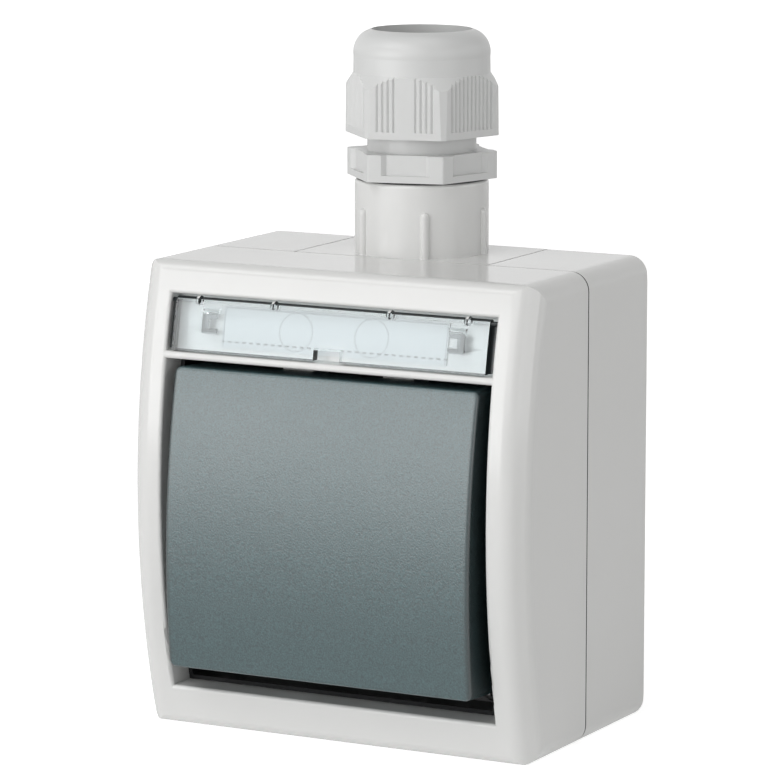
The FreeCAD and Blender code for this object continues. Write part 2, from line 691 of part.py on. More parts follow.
def cover_form():
    """Outside of the cover: curved face, rounded upper and lower edges, side bevels."""
    slab = block("CoverSlab", ("-half_width", "half_width"), ("-front_reach - 1", "-cover_back"),
                 ("-half_height", "half_height"))
    curved = common("CoverCurved", slab, drum("CoverDrum", "front_radius"))
    doc.recompute()
    edge_z = number("half_height") - 0.01
    middle_y = -number("cover_back") - 1
    soft = rounded(
        "CoverSoft", curved, "front_round",
        lambda edge: runs_along(edge, X_AXIS) and abs(edge.CenterOfMass.z) > edge_z
        and edge.CenterOfMass.y < middle_y,
    )
    long_edges = prism("CoverPrism", "half_width", "half_height", "corner_radius",
                       ("-front_reach - 2", "-cover_back"))
    sketch = doc.addObject("Sketcher::SketchObject", "CoverBevelProfile")
    near = "half_width - bevel_width"
    outline(sketch, [
        ("-half_width", "0"),
        ("-half_width", "-front_reach + bevel_depth + bevel_soft_side"),
        ("arc", "-half_width + bevel_pull_side * bevel_across",
         "-front_reach + bevel_depth + bevel_pull_side * (1 - bevel_along)"),
        ("-half_width + bevel_soft_side * bevel_across",
         "-front_reach + bevel_depth - bevel_soft_side * bevel_along"),
        (f"-({near}) - bevel_soft_front * bevel_across",
         "-front_reach + bevel_soft_front * bevel_along"),
        ("arc", f"-({near}) + bevel_pull_front * (1 - bevel_across)",
         "-front_reach + bevel_pull_front * bevel_along"),
        (f"-({near}) + bevel_soft_front", "-front_reach"),
        (f"{near} - bevel_soft_front", "-front_reach"),
        ("arc", f"{near} - bevel_pull_front * (1 - bevel_across)",
         "-front_reach + bevel_pull_front * bevel_along"),
        (f"{near} + bevel_soft_front * bevel_across",
         "-front_reach + bevel_soft_front * bevel_along"),
        ("half_width - bevel_soft_side * bevel_across",
         "-front_reach + bevel_depth - bevel_soft_side * bevel_along"),
        ("arc", "half_width - bevel_pull_side * bevel_across",
         "-front_reach + bevel_depth + bevel_pull_side * (1 - bevel_along)"),
        ("half_width", "-front_reach + bevel_depth + bevel_soft_side"),
        ("half_width", "0"),
    ])
    bevels = doc.addObject("Part::Revolution", "CoverBevels")
    bevels.Source = sketch
    bevels.Axis = X_AXIS
    bind(bevels, "Base.y", "drum_y")
    bevels.Angle = 60
    bevels.Symmetric = True
    bevels.Solid = True
    return common("CoverForm", soft, long_edges, bevels)


def make_front_cover():
    form = cover_form()
    hollow = common(
        "CoverHollow",
        prism("CoverInner", "half_width - cover_wall", "half_height - cover_wall",
              "cover_corner", ("-front_reach", "-cover_back + 1")),
        drum("CoverInnerDrum", "front_radius - cover_wall"),
    )
    shell = carved("CoverShell", form, hollow)
    side = ("-opening_half - well_wall", "opening_half + well_wall")
    well = block("CoverWell", side, ("-front_reach - 1", "-well_back"),
                 ("opening_low - well_wall", "label_low"))
    pocket = block("CoverPocket", side, ("-front_reach - 1", "-pocket_back"),
                   ("opening_high", "label_high + well_wall"))
    linings = common("CoverLinings", joined("CoverBlocks", well, pocket), form)
    width = ("-opening_half", "opening_half")
    rocker_void = block("CoverRockerVoid", width, ("-front_reach - 2", "-well_front"),
                        ("opening_low", "opening_high"))
    label_void = carved(
        "CoverLabelVoid",
        block("CoverLabelBar", width, ("-front_reach - 2", "-pocket_back"),
              ("label_low", "label_high")),
        drum("CoverPocketDrum", "front_radius - pocket_depth"),
    )
    hatch = block("CoverHatch", ("-hatch_half_x", "hatch_half_x"),
                  ("-well_front - 1", "-well_back + 1"),
                  ("pivot_z - hatch_half_z", "pivot_z + hatch_half_z"))
    open_shell = carved("CoverOpen", joined("CoverLined", shell, linings),
                        rocker_void, label_void, hatch)
    doc.recompute()
    face = FreeCAD.Vector(0, number("drum_y"), 0)
    reach = number("front_radius")
    inside = number("opening_half") + 0.01
    low = number("opening_low") - 0.01
    high = number("label_high") + 0.01

    def on_opening(edge):
        """Edges of the two openings that lie on the curved face."""
        middle = edge.valueAt((edge.FirstParameter + edge.LastParameter) / 2)
        from_axis = math.hypot(middle.y - face.y, middle.z)
        return abs(from_axis - reach) < 0.01 and abs(middle.x) < inside and low < middle.z < high

    soft = rounded("CoverSoftOpenings", open_shell, "opening_round", on_opening)
    added = []
    cuts = []
    for name, x, z in cover_screw_places():
        added.append(post(f"CoverTube{name}", "post_radius", "y", (x, z),
                          ("-well_back - 0.5", "-cover_back")))
        cuts.append(post(f"CoverHole{name}", "screw_radius + hole_play", "y", (x, z),
                         ("-well_front - 1", "-cover_back + 1")))
    for name, sign in SIDES:
        for level, mark in (("Low", "-"), ("High", "+")):
            cuts.append(post(f"CoverStakeHole{name}{level}", "stake_radius + thread_play", "y",
                             stake_place(sign, mark), ("-well_front - 1", "-well_back + 1")))
            added.append(block(
                f"CoverStop{name}{level}",
                (f"{sign}rest_x - stop_half_x", f"{sign}rest_x + stop_half_x"),
                ("-(pivot_depth + rocker_skirt * cos(rocker_tilt)"
                 " - rocker_half_z * sin(rocker_tilt) - stop_gap)", "-well_front + 0.5"),
                (f"pivot_z {mark} (rocker_half_z + stop_shift) - stop_half_z",
                 f"pivot_z {mark} (rocker_half_z + stop_shift) + stop_half_z"),
            ))
        cuts.append(post(
            f"CoverDimple{name}", "peg_radius + peg_play", "x", ("hinge_y", "hinge_z"),
            (f"{sign}(opening_half + peg_reach / 2) - peg_reach",
             f"{sign}(opening_half + peg_reach / 2) + peg_reach"),
        ))
    solid = joined("CoverWithPosts", soft, *added)
    node("front_cover", carved("FrontCover", solid, *cuts))


def stake_place(sign, mark):
    """X and Z of a stake at a corner of the membrane frame."""
    inset = "rim_width / 2"
    return (f"{sign}(hatch_half_x + {inset})", f"pivot_z {mark} (hatch_half_z + {inset})")


def make_cover_screws():
    screws = []
    seals = []
    for name, x, z in cover_screw_places():
        part = screw(f"Cover{name}", "head_radius", "cover_screw_reach", "screw_radius",
                     "head_height")
        screws.append(face_front(part, x, "well_front + seal_thick", z))
        seal = turned(f"ScrewSeal{name}", [
            ("screw_radius + hole_play", "0"),
            ("head_radius + 0.3", "0"),
            ("head_radius + 0.3", "seal_thick"),
            ("screw_radius + hole_play", "seal_thick"),
        ])
        seals.append(face_front(seal, x, "well_front", z))
    node("cover_screws", group("CoverScrews", screws))
    node("cover_screw_seals", group("CoverScrewSeals", seals))


def arc_plate(name, x, z, outer, inner):
    """Plate that follows the curved front, between two radii."""
    bar = block(f"{name}Bar", x, ("-front_reach - 1", "-pocket_back + 2"), z)
    return carved(name, common(f"{name}Curved", bar, drum(f"{name}Outer", outer)),
                  drum(f"{name}Inner", inner))


def make_label_window():
    outer = "front_radius - window_recess"
    inner = "front_radius - window_recess - window_thick"
    width = ("-window_half", "window_half")
    plate = arc_plate("WindowPlate", width, ("label_low + window_gap", "hinge_z"), outer, inner)
    axis = ("hinge_y", "hinge_z")
    pieces = [plate, post("WindowEdge", "window_thick / 2", "x", axis, width)]
    cuts = [block("WindowPry", ("-pry_half", "pry_half"), ("-front_reach", "-pocket_back"),
                  ("label_low", "label_low + window_gap + pry_height"))]
    for side, sign in SIDES:
        for place_name in ("inner", "outer"):
            middle = f"{sign}nub_{place_name}"
            pieces.append(post(f"WindowNub{side}{place_name.title()}",
                               "window_thick / 2 + nub_rise", "x", axis,
                               (f"{middle} - nub_width / 2", f"{middle} + nub_width / 2")))
        peg = "(opening_half + window_half + peg_reach) / 2"
        half = "(opening_half - window_half + peg_reach) / 2"
        pieces.append(post(f"WindowPeg{side}", "peg_radius", "x", axis,
                           (f"{sign}{peg} - {half}", f"{sign}{peg} + {half}")))
        middle = f"{sign}clip_x"
        x = (f"{middle} - clip_half_x", f"{middle} + clip_half_x")
        z = ("clip_z - clip_half_z", "clip_z + clip_half_z")
        clip = arc_plate(f"WindowClip{side}", x, z, "front_radius - window_recess - 1",
                         "front_radius - pocket_depth + 0.1")
        hollow_x = (f"{middle} - clip_half_x + clip_wall", f"{middle} + 2 * clip_half_x")
        if sign == "+":
            hollow_x = (f"{middle} - 2 * clip_half_x", f"{middle} + clip_half_x - clip_wall")
        hollow = block(f"WindowClipHollow{side}", hollow_x, ("-front_reach", "-pocket_back"),
                       ("clip_z - clip_half_z + clip_wall", "clip_z + clip_half_z - clip_wall"))
        clip_open = carved(f"WindowClipOpen{side}", clip, hollow)
        pieces.append(clip_open)
    node("label_window", carved("LabelWindow", joined("WindowSolid", *pieces), *cuts))


def make_label_card():
    node("label_card", arc_plate(
        "LabelCard", ("-card_half", "card_half"), ("card_low", "card_high"),
        "front_radius - pocket_depth + card_thick", "front_radius - pocket_depth",
    ))


def rocker_drum(name, radius):
    """Cylinder about the axis of the rocker's curved face, in the rocker's own frame."""
    return post(name, radius, "x", ("rocker_curve - rocker_reach", "0"),
                ("-rocker_half_x - 2", "rocker_half_x + 2"))


def make_rocker():
    bar = block("RockerBar", ("-rocker_half_x", "rocker_half_x"),
                ("-rocker_reach - 1", "-rocker_skirt"), ("-rocker_half_z", "rocker_half_z"))
    corners = rounded("RockerCorners", bar, "rocker_corner",
                      lambda edge: runs_along(edge, Y_AXIS))
    curved = common("RockerCurved", corners, rocker_drum("RockerDrum", "rocker_curve"))
    doc.recompute()
    skirt = -number("rocker_skirt") - 0.01
    deepest = -number("rocker_reach") + number("rocker_half_z ^ 2 / 2 / rocker_curve") + 0.5
    soft = rounded("RockerSoft", curved, "rocker_round",
                   lambda edge: edge.BoundBox.YMax < min(skirt, deepest))
    inside_x = "rocker_half_x - rocker_wall"
    inside_z = "rocker_half_z - rocker_wall"
    hollow = common(
        "RockerHollow",
        block("RockerInner", (f"-({inside_x})", inside_x), ("-rocker_reach", "-rocker_skirt + 1"),
              (f"-({inside_z})", inside_z)),
        rocker_drum("RockerInnerDrum", "rocker_curve - rocker_wall"),
    )
    shell = carved("RockerShell", soft, hollow)
    hidden = []
    for level, mark in (("Low", "-"), ("High", "+")):
        grip = f"{mark}(head_half_z + hook_play + hook_thick / 2)"
        catch = f"{mark}(head_half_z - 0.2)"
        for side, sign in SIDES:
            x = (f"{sign}hook_x - hook_half_x", f"{sign}hook_x + hook_half_x")
            hidden.append(block(f"RockerHook{side}{level}", x, ("-rocker_reach", "-head_back + 0.9"),
                                (f"{grip} - hook_thick / 2", f"{grip} + hook_thick / 2")))
            hidden.append(block(f"RockerCatch{side}{level}", x,
                                ("-head_back + 0.1", "-head_back + 0.9"),
                                (f"{catch} - catch_rise", f"{catch} + catch_rise")))
    for side, sign in SIDES:
        hidden.append(block(f"RockerRest{side}", (f"{sign}rest_x - rib_thick", f"{sign}rest_x + rib_thick"),
                            ("-rocker_reach", "-head_front - stop_gap"),
                            ("-head_half_z", "head_half_z")))
        hidden.append(block(f"RockerBrace{side}",
                            (f"{sign}brace_x - rib_thick / 2", f"{sign}brace_x + rib_thick / 2"),
                            ("-rocker_reach", "-rocker_reach + rib_depth"),
                            (f"-({inside_z}) - 0.5", f"{inside_z} + 0.5")))
    ribs = common("RockerRibs", joined("RockerRibBlocks", *hidden),
                  rocker_drum("RockerRibDrum", "rocker_curve - rocker_wall / 2"))
    pieces = [shell, ribs]
    node("rocker", at_pivot(joined("Rocker", *pieces)))


def make_rocker_carrier():
    cradle = block("CarrierCradle", ("-carrier_half_x", "carrier_half_x"),
                   ("-cradle_front", "cradle_back"),
                   ("-carrier_half_z", "carrier_half_z"))
    axles = post("CarrierAxles", "axle_radius", "x", ("0", "0"),
                 ("-cheek_inner - cheek_thick - 0.3", "cheek_inner + cheek_thick + 0.3"))
    barrel = post("CarrierBarrel", "barrel_radius", "y", ("0", "0"), ("0", "barrel_reach"))
    neck = post("CarrierNeck", "neck_radius", "y", ("0", "0"),
                ("-head_back - head_thick / 4", "-cradle_front + 1"))
    head = block("CarrierHead", ("-head_half_x", "head_half_x"), ("-head_front", "-head_back"),
                 ("-head_half_z", "head_half_z"))
    bore = post("CarrierBore", "plunger_radius + axle_play", "y", ("0", "0"),
                ("plunger_root - spring_room", "barrel_reach + 1"))
    solid = joined("CarrierSolid", cradle, axles, barrel, neck, head)
    node("rocker_carrier", at_pivot(carved("RockerCarrier", solid, bore)))


def make_plunger():
    tip = "plunger_radius * 0.8"
    body = turned("Plunger", [
        ("0", "plunger_root"),
        ("plunger_radius * 0.6", "plunger_root"),
        ("plunger_radius * 0.6", "barrel_reach - spring_room"),
        ("plunger_radius", "barrel_reach - spring_room"),
        ("plunger_radius", f"plunger_tip - 2 * {tip}"),
        (tip, f"plunger_tip - {tip}"),
        ("arc", f"{tip} * 0.75", f"plunger_tip - {tip} * 0.3"),
        ("0.3", "plunger_tip"),
        ("0", "plunger_tip"),
    ], "XY_Plane")
    node("plunger", at_pivot(body))
    coil = doc.addObject("Part::Helix", "SpringPath")
    mean = "(plunger_radius + axle_play - spring_wire - 0.05)"
    bind(coil, "Radius", mean)
    low = "(plunger_root - spring_room + 0.1 + spring_wire)"
    rise = f"(barrel_reach - spring_room - 0.05 - spring_wire - {low})"
    bind(coil, "Pitch", f"{rise} / spring_turns")
    bind(coil, "Height", rise)
    coil.SegmentLength = 1
    place(coil, "0", "0", low)
    wire = doc.addObject("Part::Circle", "SpringWire")
    bind(wire, "Radius", "spring_wire")
    wire.Placement.Rotation = FreeCAD.Rotation(X_AXIS, 90)
    place(wire, mean, "0", low)
    spring = doc.addObject("Part::Sweep", "SpringSweep")
    spring.Sections = [wire]
    spring.Spine = coil
    spring.Solid = True
    spring.Frenet = True
    spring.Placement.Rotation = FreeCAD.Rotation(X_AXIS, -90)
    node("plunger_spring", at_pivot(group("PlungerSpring", [spring])))


def make_membrane():
    """Sheet with a raised fold round its collar, held by a thick rim."""
    low = "well_front"
    z_mid = "pivot_z"
    rim_x = "hatch_half_x + rim_width"
    rim_z = "hatch_half_z + rim_width"
    rim = block("MembraneRim", (f"-({rim_x})", rim_x), (f"-({low}) - rim_thick", f"-({low})"),
                (f"{z_mid} - ({rim_z})", f"{z_mid} + ({rim_z})"))
    inner = block("MembraneInner", ("-hatch_half_x", "hatch_half_x"),
                  (f"-({low}) - rim_thick - 1", f"-({low}) - sheet_thick"),
                  (f"{z_mid} - hatch_half_z", f"{z_mid} + hatch_half_z"))
    fold = doc.addObject("Part::Torus", "MembraneFold")
    fold_reach = "(neck_radius + collar_gap + 2 * wave_radius)"
    bind(fold, "Radius1", fold_reach)
    bind(fold, "Radius2", "wave_radius")
    fold.Placement.Rotation = FreeCAD.Rotation(X_AXIS, 90)
    place(fold, "0", f"-({low}) - sheet_thick / 2", z_mid)
    ahead = block("MembraneAhead", ("-hatch_half_x", "hatch_half_x"),
                  (f"-({low}) - 3 * wave_radius", f"-({low}) - sheet_thick / 2"),
                  (f"{z_mid} - hatch_half_z", f"{z_mid} + hatch_half_z"))
    fold_up = common("MembraneFoldUp", fold, ahead)
    groove = doc.addObject("Part::Torus", "MembraneFoldInside")
    bind(groove, "Radius1", fold_reach)
    bind(groove, "Radius2", "wave_radius - sheet_thick")
    groove.Placement.Rotation = FreeCAD.Rotation(X_AXIS, 90)
    place(groove, "0", f"-({low}) - sheet_thick / 2", z_mid)
    mouth = post("MembraneMouth", f"{fold_reach} + wave_radius - sheet_thick", "y", ("0", z_mid),
                 (f"-({low}) - sheet_thick / 2", f"-({low}) + 1"))
    core = post("MembraneCore", f"{fold_reach} - wave_radius + sheet_thick", "y", ("0", z_mid),
                (f"-({low}) - sheet_thick / 2 - 1", f"-({low}) + 2"))
    trench = carved("MembraneTrench", mouth, core)
    collar = post("MembraneCollar", "neck_radius + collar_gap + sheet_thick", "y", ("0", z_mid),
                  (f"-({low}) - collar_rise", f"-({low}) - sheet_thick / 2"))
    hole = post("MembraneHole", "neck_radius + collar_gap", "y", ("0", z_mid),
                (f"-({low}) - 5", f"-({low}) + 1"))
    sheet_solid = joined("MembraneSolid", carved("MembraneSheet", rim, inner), fold_up, collar)
    cuts = [groove, trench, hole]
    for side, sign in SIDES:
        for level, mark in (("Low", "-"), ("High", "+")):
            cuts.append(post(f"MembraneStakeHole{side}{level}", "stake_radius + hole_play", "y",
                             stake_place(sign, mark), ("-well_front - 5", "-well_front + 1")))
    node("rocker_membrane", carved("RockerMembrane", sheet_solid, *cuts))


def make_membrane_frame():
    """Frame that holds the membrane's rim, with a tray that lines the rocker well."""
    reach = "rim_width + frame_width"
    outer_x = f"hatch_half_x + {reach}"
    outer_z = f"hatch_half_z + {reach}"
    rim_x = "hatch_half_x + rim_width + 0.1"
    rim_z = "hatch_half_z + rim_width + 0.1"
    bar = block("FrameBar", (f"-({outer_x})", outer_x), ("-frame_front", "-well_front"),
                (f"pivot_z - ({outer_z})", f"pivot_z + ({outer_z})"))
    seat = block("FrameSeat", (f"-({rim_x})", rim_x), ("-well_front - rim_thick", "-well_front + 1"),
                 (f"pivot_z - ({rim_z})", f"pivot_z + ({rim_z})"))
    light = block("FrameLight", ("-hatch_half_x", "hatch_half_x"), ("-frame_front - 1", "0"),
                  ("pivot_z - hatch_half_z", "pivot_z + hatch_half_z"))
    wall_x = "opening_half - tray_play"
    wall_low = "opening_low + tray_play"
    wall_high = "opening_high - tray_play"
    shell = common(
        "TrayShell",
        block("TrayBlock", (f"-({wall_x})", wall_x), ("-front_reach", "-well_front"),
              (wall_low, wall_high)),
        drum("TrayDrum", "front_radius - tray_setback"),
    )
    room = block("TrayRoom", (f"-({wall_x}) + tray_wall", f"{wall_x} - tray_wall"),
                 ("-front_reach - 1", "-well_front - tray_wall"),
                 (f"{wall_low} + tray_wall", f"{wall_high} - tray_wall"))
    holes = [room]
    for name, x, z in cover_screw_places():
        holes.append(post(f"TrayHole{name}", "head_radius + 0.3 + tray_relief", "y", (x, z),
                          ("-well_front - tray_wall - 1", "-well_front + 1")))
    for name, sign in SIDES:
        for level, mark in (("Low", "-"), ("High", "+")):
            middle = f"pivot_z {mark} (rocker_half_z + stop_shift)"
            holes.append(block(
                f"TrayStopHole{name}{level}",
                (f"{sign}rest_x - stop_half_x - tray_relief",
                 f"{sign}rest_x + stop_half_x + tray_relief"),
                ("-well_front - tray_wall - 1", "-well_front + 1"),
                (f"{middle} - stop_half_z - tray_relief", f"{middle} + stop_half_z + tray_relief"),
            ))
    tray = carved("Tray", shell, *holes)
    ring = carved("FrameRing", joined("FrameBlocks", bar, tray), seat, light)
    stakes = []
    for side, sign in SIDES:
        for level, mark in (("Low", "-"), ("High", "+")):
            stakes.append(post(f"FrameStake{side}{level}", "stake_radius", "y",
                               stake_place(sign, mark), ("-frame_front + 0.5", "-well_back")))
    node("membrane_frame", joined("MembraneFrame", ring, *stakes))


def make_mechanism_base():
    z = ("pivot_z - base_half_z", "pivot_z + base_half_z")
    bar = block("BaseBar", ("-base_half_x", "base_half_x"), ("-base_front", "-base_back"), z)
    pieces = [bar]
    cuts = []
    floor = "-base_back - base_floor"
    cuts.append(block("BaseCavity", ("-cavity_half_x", "cavity_half_x"), ("-base_front - 1", floor),
                      ("pivot_z - base_half_z + cavity_wall",
                       "pivot_z + base_half_z - cavity_wall")))
    for side, sign in SIDES:
        middle = f"{sign}(cheek_inner + cheek_thick / 2)"
        x = (f"{middle} - cheek_thick / 2", f"{middle} + cheek_thick / 2")
        pieces.append(block(f"BaseCheek{side}", x, ("-pivot_depth", "-base_front + 1"),
                            ("pivot_z - cheek_half_z", "pivot_z + cheek_half_z")))
        pieces.append(post(f"BaseCheekEnd{side}", "cheek_half_z", "x",
                           ("-pivot_depth", "pivot_z"), x))
    cuts.append(post("BasePivot", "axle_radius + axle_play", "x", ("-pivot_depth", "pivot_z"),
                     ("-base_half_x", "base_half_x")))
    for name, x_mid, z_mid in terminal_places():
        cuts.append(block(f"BaseChamber{name}", (f"{x_mid} - chamber_half", f"{x_mid} + chamber_half"),
                          ("-base_front - 1", floor),
                          (f"{z_mid} - chamber_half", f"{z_mid} + chamber_half")))
        cuts.append(block(f"BaseChannel{name}", (f"min({x_mid}; 0)", f"max({x_mid}; 0)"),
                          (f"{floor} - strip_thick - 0.4", floor),
                          (f"{z_mid} - strip_half - 0.1", f"{z_mid} + strip_half + 0.1")))
        cuts.append(post(f"BaseWireHole{name}", "wire_radius + 0.4", "x",
                         ("-strip_front - terminal_height / 3", z_mid),
                         (f"min({x_mid} * 2; 0)", f"max({x_mid} * 2; 0)")))
    for name, z_mid in ear_places():
        outward = "+" if name == "Upper" else "-"
        pieces.append(block(f"BaseEar{name}", ("-ear_half_x", "ear_half_x"),
                            ("-ear_front", "-ear_front + ear_thick"),
                            (f"{z_mid} - ear_half_z", f"{z_mid} + ear_half_z")))
        cuts.append(post(f"BaseEarHole{name}", "screw_radius + hole_play", "y", ("0", z_mid),
                         ("-ear_front - 1", "-ear_front + ear_thick + 1")))
        wall = f"pivot_z {outward} (base_half_z - ear_wall / 2)"
        pieces.append(block(f"BaseEarRoot{name}", ("-ear_half_x", "ear_half_x"),
                            ("-ear_front", "-base_back"),
                            (f"{wall} - ear_wall / 2", f"{wall} + ear_wall / 2")))
    node("mechanism_base", carved("MechanismBase", joined("BaseSolid", *pieces), *cuts))


def make_mechanism_screws():
    screws = []
    for name, z in ear_places():
        part = screw(f"Ear{name}", "head_radius", "ear_front - box_floor - 0.5", "screw_radius",
                     "head_height")
        screws.append(face_front(part, "0", "ear_front", z))
    node("mechanism_screws", group("MechanismScrews", screws))


def at_bridge(thing):
    """Place a piece drawn about the see-saw's axis, its lower end pressed back."""
    thing.Placement.Rotation = FreeCAD.Rotation(X_AXIS, 6.5)
    bind(thing, "Placement.Rotation.Angle", "bridge_tilt")
    return place(thing, "0", "-bridge_axis", "pivot_z")


def make_contact_bridge():
    plate = block("BridgePlate", ("-strip_half", "strip_half"),
                  ("-strip_thick / 2", "strip_thick / 2"),
                  ("-bridge_half - bridge_end", "bridge_half + bridge_end"))
    stubs = []
    for side, sign in SIDES:
        middle = f"{sign}(strip_half - 0.3 + trunnion_reach) / 2"
        half = "(trunnion_reach - strip_half + 0.3) / 2"
        stubs.append(post(f"BridgeTrunnion{side}", "trunnion_radius", "x", ("0", "0"),
                          (f"{middle} - {half}", f"{middle} + {half}")))
    node("contact_bridge", at_bridge(joined("ContactBridge", plate, *stubs)))
    tips = []
    for level, mark in (("Low", "-"), ("High", "+")):
        tips.append(post(f"BridgeTip{level}", "tip_radius", "y", ("0", f"{mark}bridge_half"),
                         ("strip_thick / 2", "strip_thick / 2 + tip_height")))
    node("bridge_contact_tips", at_bridge(group("BridgeTips", tips)))


def make_fixed_contacts():
    back = "-base_back - base_floor"
    strips = []
    tips = []
    for name, x_mid, z_mid in terminal_places()[:2]:
        strips.append(block(f"Strip{name}", (f"{x_mid} - terminal_half", "strip_half"),
                            ("-strip_front", back), (f"{z_mid} - strip_half", f"{z_mid} + strip_half")))
        lower = name == "Lower"
        drop = "-" if lower else "+"
        tip = post(f"FixedTip{name}", "tip_radius", "y",
                   ("0", f"pivot_z {drop} bridge_half * cos(bridge_tilt)"),
                   ("-strip_front - tip_height + 0.25", "-strip_front"))
        tips.append(tip)
    node("fixed_contacts", group("FixedContacts", strips))
    node("fixed_contact_tips", group("FixedTips", tips))
    x_mid = "chamber_x"
    strip = block("CommonStrip", ("-lug_inner - strip_thick", f"{x_mid} + terminal_half"),
                  ("-strip_front", back), ("pivot_z - strip_half", "pivot_z + strip_half"))
    lugs = []
    for side, sign in SIDES:
        middle = f"{sign}(lug_inner + strip_thick / 2)"
        x = (f"{middle} - strip_thick / 2", f"{middle} + strip_thick / 2")
        lugs.append(block(f"CommonLug{side}", x,
                          ("-bridge_axis - lug_rise", "-strip_front + strip_thick / 4"),
                          ("pivot_z - lug_half_z", "pivot_z + lug_half_z")))
    seat = post("CommonSeat", "trunnion_radius + axle_play", "x", ("-bridge_axis", "pivot_z"),
                ("-cavity_half_x", "cavity_half_x"))
    node("common_contact", carved("CommonContact", joined("CommonSolid", strip, *lugs), seat))


def make_terminals():
    blocks = []
    screws = []
    for name, x_mid, z_mid in terminal_places():
        cube = block(f"Terminal{name}Cube", (f"{x_mid} - terminal_half", f"{x_mid} + terminal_half"),
                     ("-strip_front - terminal_height", "-strip_front"),
                     (f"{z_mid} - terminal_half", f"{z_mid} + terminal_half"))
        wire = post(f"Terminal{name}Wire", "wire_radius", "x",
                    ("-strip_front - terminal_height / 3", z_mid),
                    (f"{x_mid} - terminal_half - 1", f"{x_mid} + terminal_half + 1"))
        thread = post(f"Terminal{name}Thread", "screw_radius + thread_play", "y", (x_mid, z_mid),
                      ("-strip_front - terminal_height - 1", "-strip_front - terminal_height / 3"))
        blocks.append(carved(f"Terminal{name}", cube, wire, thread))
        part = screw(f"Clamp{name}", "head_radius", "terminal_height / 2", "screw_radius",
                     "head_height * 0.8", cross=0.7)
        screws.append(face_front(part, x_mid, "strip_front + terminal_height", z_mid))
    node("terminal_blocks", group("TerminalBlocks", blocks))
    node("terminal_screws", group("TerminalScrews", screws))


def make_gland_washer():
    washer = turned("GlandWasher", [
        ("shank_radius + 0.1", "spigot_top"),
        ("washer_reach", "spigot_top"),
        ("washer_reach", "spigot_top + washer_thick"),
        ("shank_radius + 0.1", "spigot_top + washer_thick"),
    ])
    node("gland_washer", on_gland_axis(washer))


def hexagon(name, flats, z):
    solid = doc.addObject("Part::Prism", name)
    solid.Polygon = 6
    bind(solid, "Circumradius", f"({flats}) / 2 / cos(30)")
    bind(solid, "Height", f"({z[1]}) - ({z[0]})")
    solid.Placement.Rotation = FreeCAD.Rotation(Z_AXIS, 13.5)
    bind(solid, "Placement.Rotation.Angle", "hex_turn")
    return place(solid, "0", "0", z[0])


def make_gland_body():
    flats = hexagon("BodyHexagon", "hex_flats", ("hex_low", "hex_high"))
    flats = rounded("BodyHexagonSoft", flats, "hex_round", lambda edge: runs_along(edge, Z_AXIS))
    panels = []
    for index in range(6):
        panel = turned_panel(index)
        panels.append(panel)
    turned_part = turned("BodyTurned", [
        ("body_bore", "hex_low - shank_reach"),
        ("shank_radius - 0.6", "hex_low - shank_reach"),
        ("shank_radius", "hex_low - shank_reach + 0.6"),
        ("shank_radius", "hex_low + 1"),
        ("neck_outer", "hex_low + 1"),
        ("neck_outer", "thread_low"),
        ("upper_thread", "thread_low + 0.8"),
        ("upper_thread", "thread_high - 0.5"),
        ("upper_thread - 0.5", "thread_high"),
        ("seat_radius", "thread_high"),
        ("seat_radius", "seat_low"),
        ("body_bore", "seat_low - 0.9"),
    ])
    turned_part.Label = "BodyTurnedPart"
    bore = post("BodyBore", "body_bore", "z", ("0", "0"), ("hex_low - 1", "seat_low"))
    relief = post("BodyWasherSeat", "washer_reach + 0.05", "z", ("0", "0"),
                  ("hex_low - 1", "spigot_top + washer_thick"))
    shaft = post("BodyShaft", "shank_radius", "z", ("0", "0"), ("hex_low - 2", "hex_low + 2"))
    ring = carved("BodyWasherSeatRing", relief, shaft)
    head = carved("BodyHead", flats, bore, ring, *panels)
    node("gland_body", on_gland_axis(joined("GlandBody", turned_part, head)))


def turned_panel(index):
    """Shallow recess with sloped sides in one flat, open at the top."""
    sketch = doc.addObject("Sketcher::SketchObject", f"PanelProfile{index + 1}")
    face = "hex_flats / 2"
    outline(sketch, [
        (f"{face} + 0.5", "-panel_half - panel_draft * (1 + 0.5 / panel_depth)"),
        (f"{face} - panel_depth", "-panel_half"),
        (f"{face} - panel_depth", "panel_half"),
        (f"{face} + 0.5", "panel_half + panel_draft * (1 + 0.5 / panel_depth)"),
    ])
    panel = doc.addObject("Part::Extrusion", f"Panel{index + 1}")
    panel.Base = sketch
    panel.Dir = Z_AXIS
    panel.DirMode = "Custom"
    panel.Solid = True
    bind(panel, "LengthFwd", "hex_height - panel_ledge + 1")
    panel.Placement.Rotation = FreeCAD.Rotation(Z_AXIS, 60 * index + 43.5)
    bind(panel, "Placement.Rotation.Angle", f"{60 * index} + 30 + hex_turn")
    return place(panel, "0", "0", "hex_low + panel_ledge")


def make_gland_seal():
    outer = "seat_radius - seal_play"
    seal = turned("GlandSeal", [
        ("seal_bore + 0.8", "seat_low"),
        (outer, "seat_low"),
        (outer, "seal_high"),
        ("seal_bore + 0.8", "seal_high"),
        ("seal_bore", "seal_high - 0.8"),
        ("seal_bore", "seat_low + 0.8"),
    ])
    node("gland_seal", on_gland_axis(seal))


def make_gland_thrust_ring():
    ring = turned("GlandThrustRing", [
        ("ring_bore", "seal_high"),
        ("ring_radius", "seal_high"),
        ("ring_radius", "ring_high - 0.5"),
        ("ring_radius - 0.5", "ring_high"),
        ("ring_bore + 0.4", "ring_high"),
        ("ring_bore", "ring_high - 0.4"),
    ])
    node("gland_thrust_ring", on_gland_axis(ring))


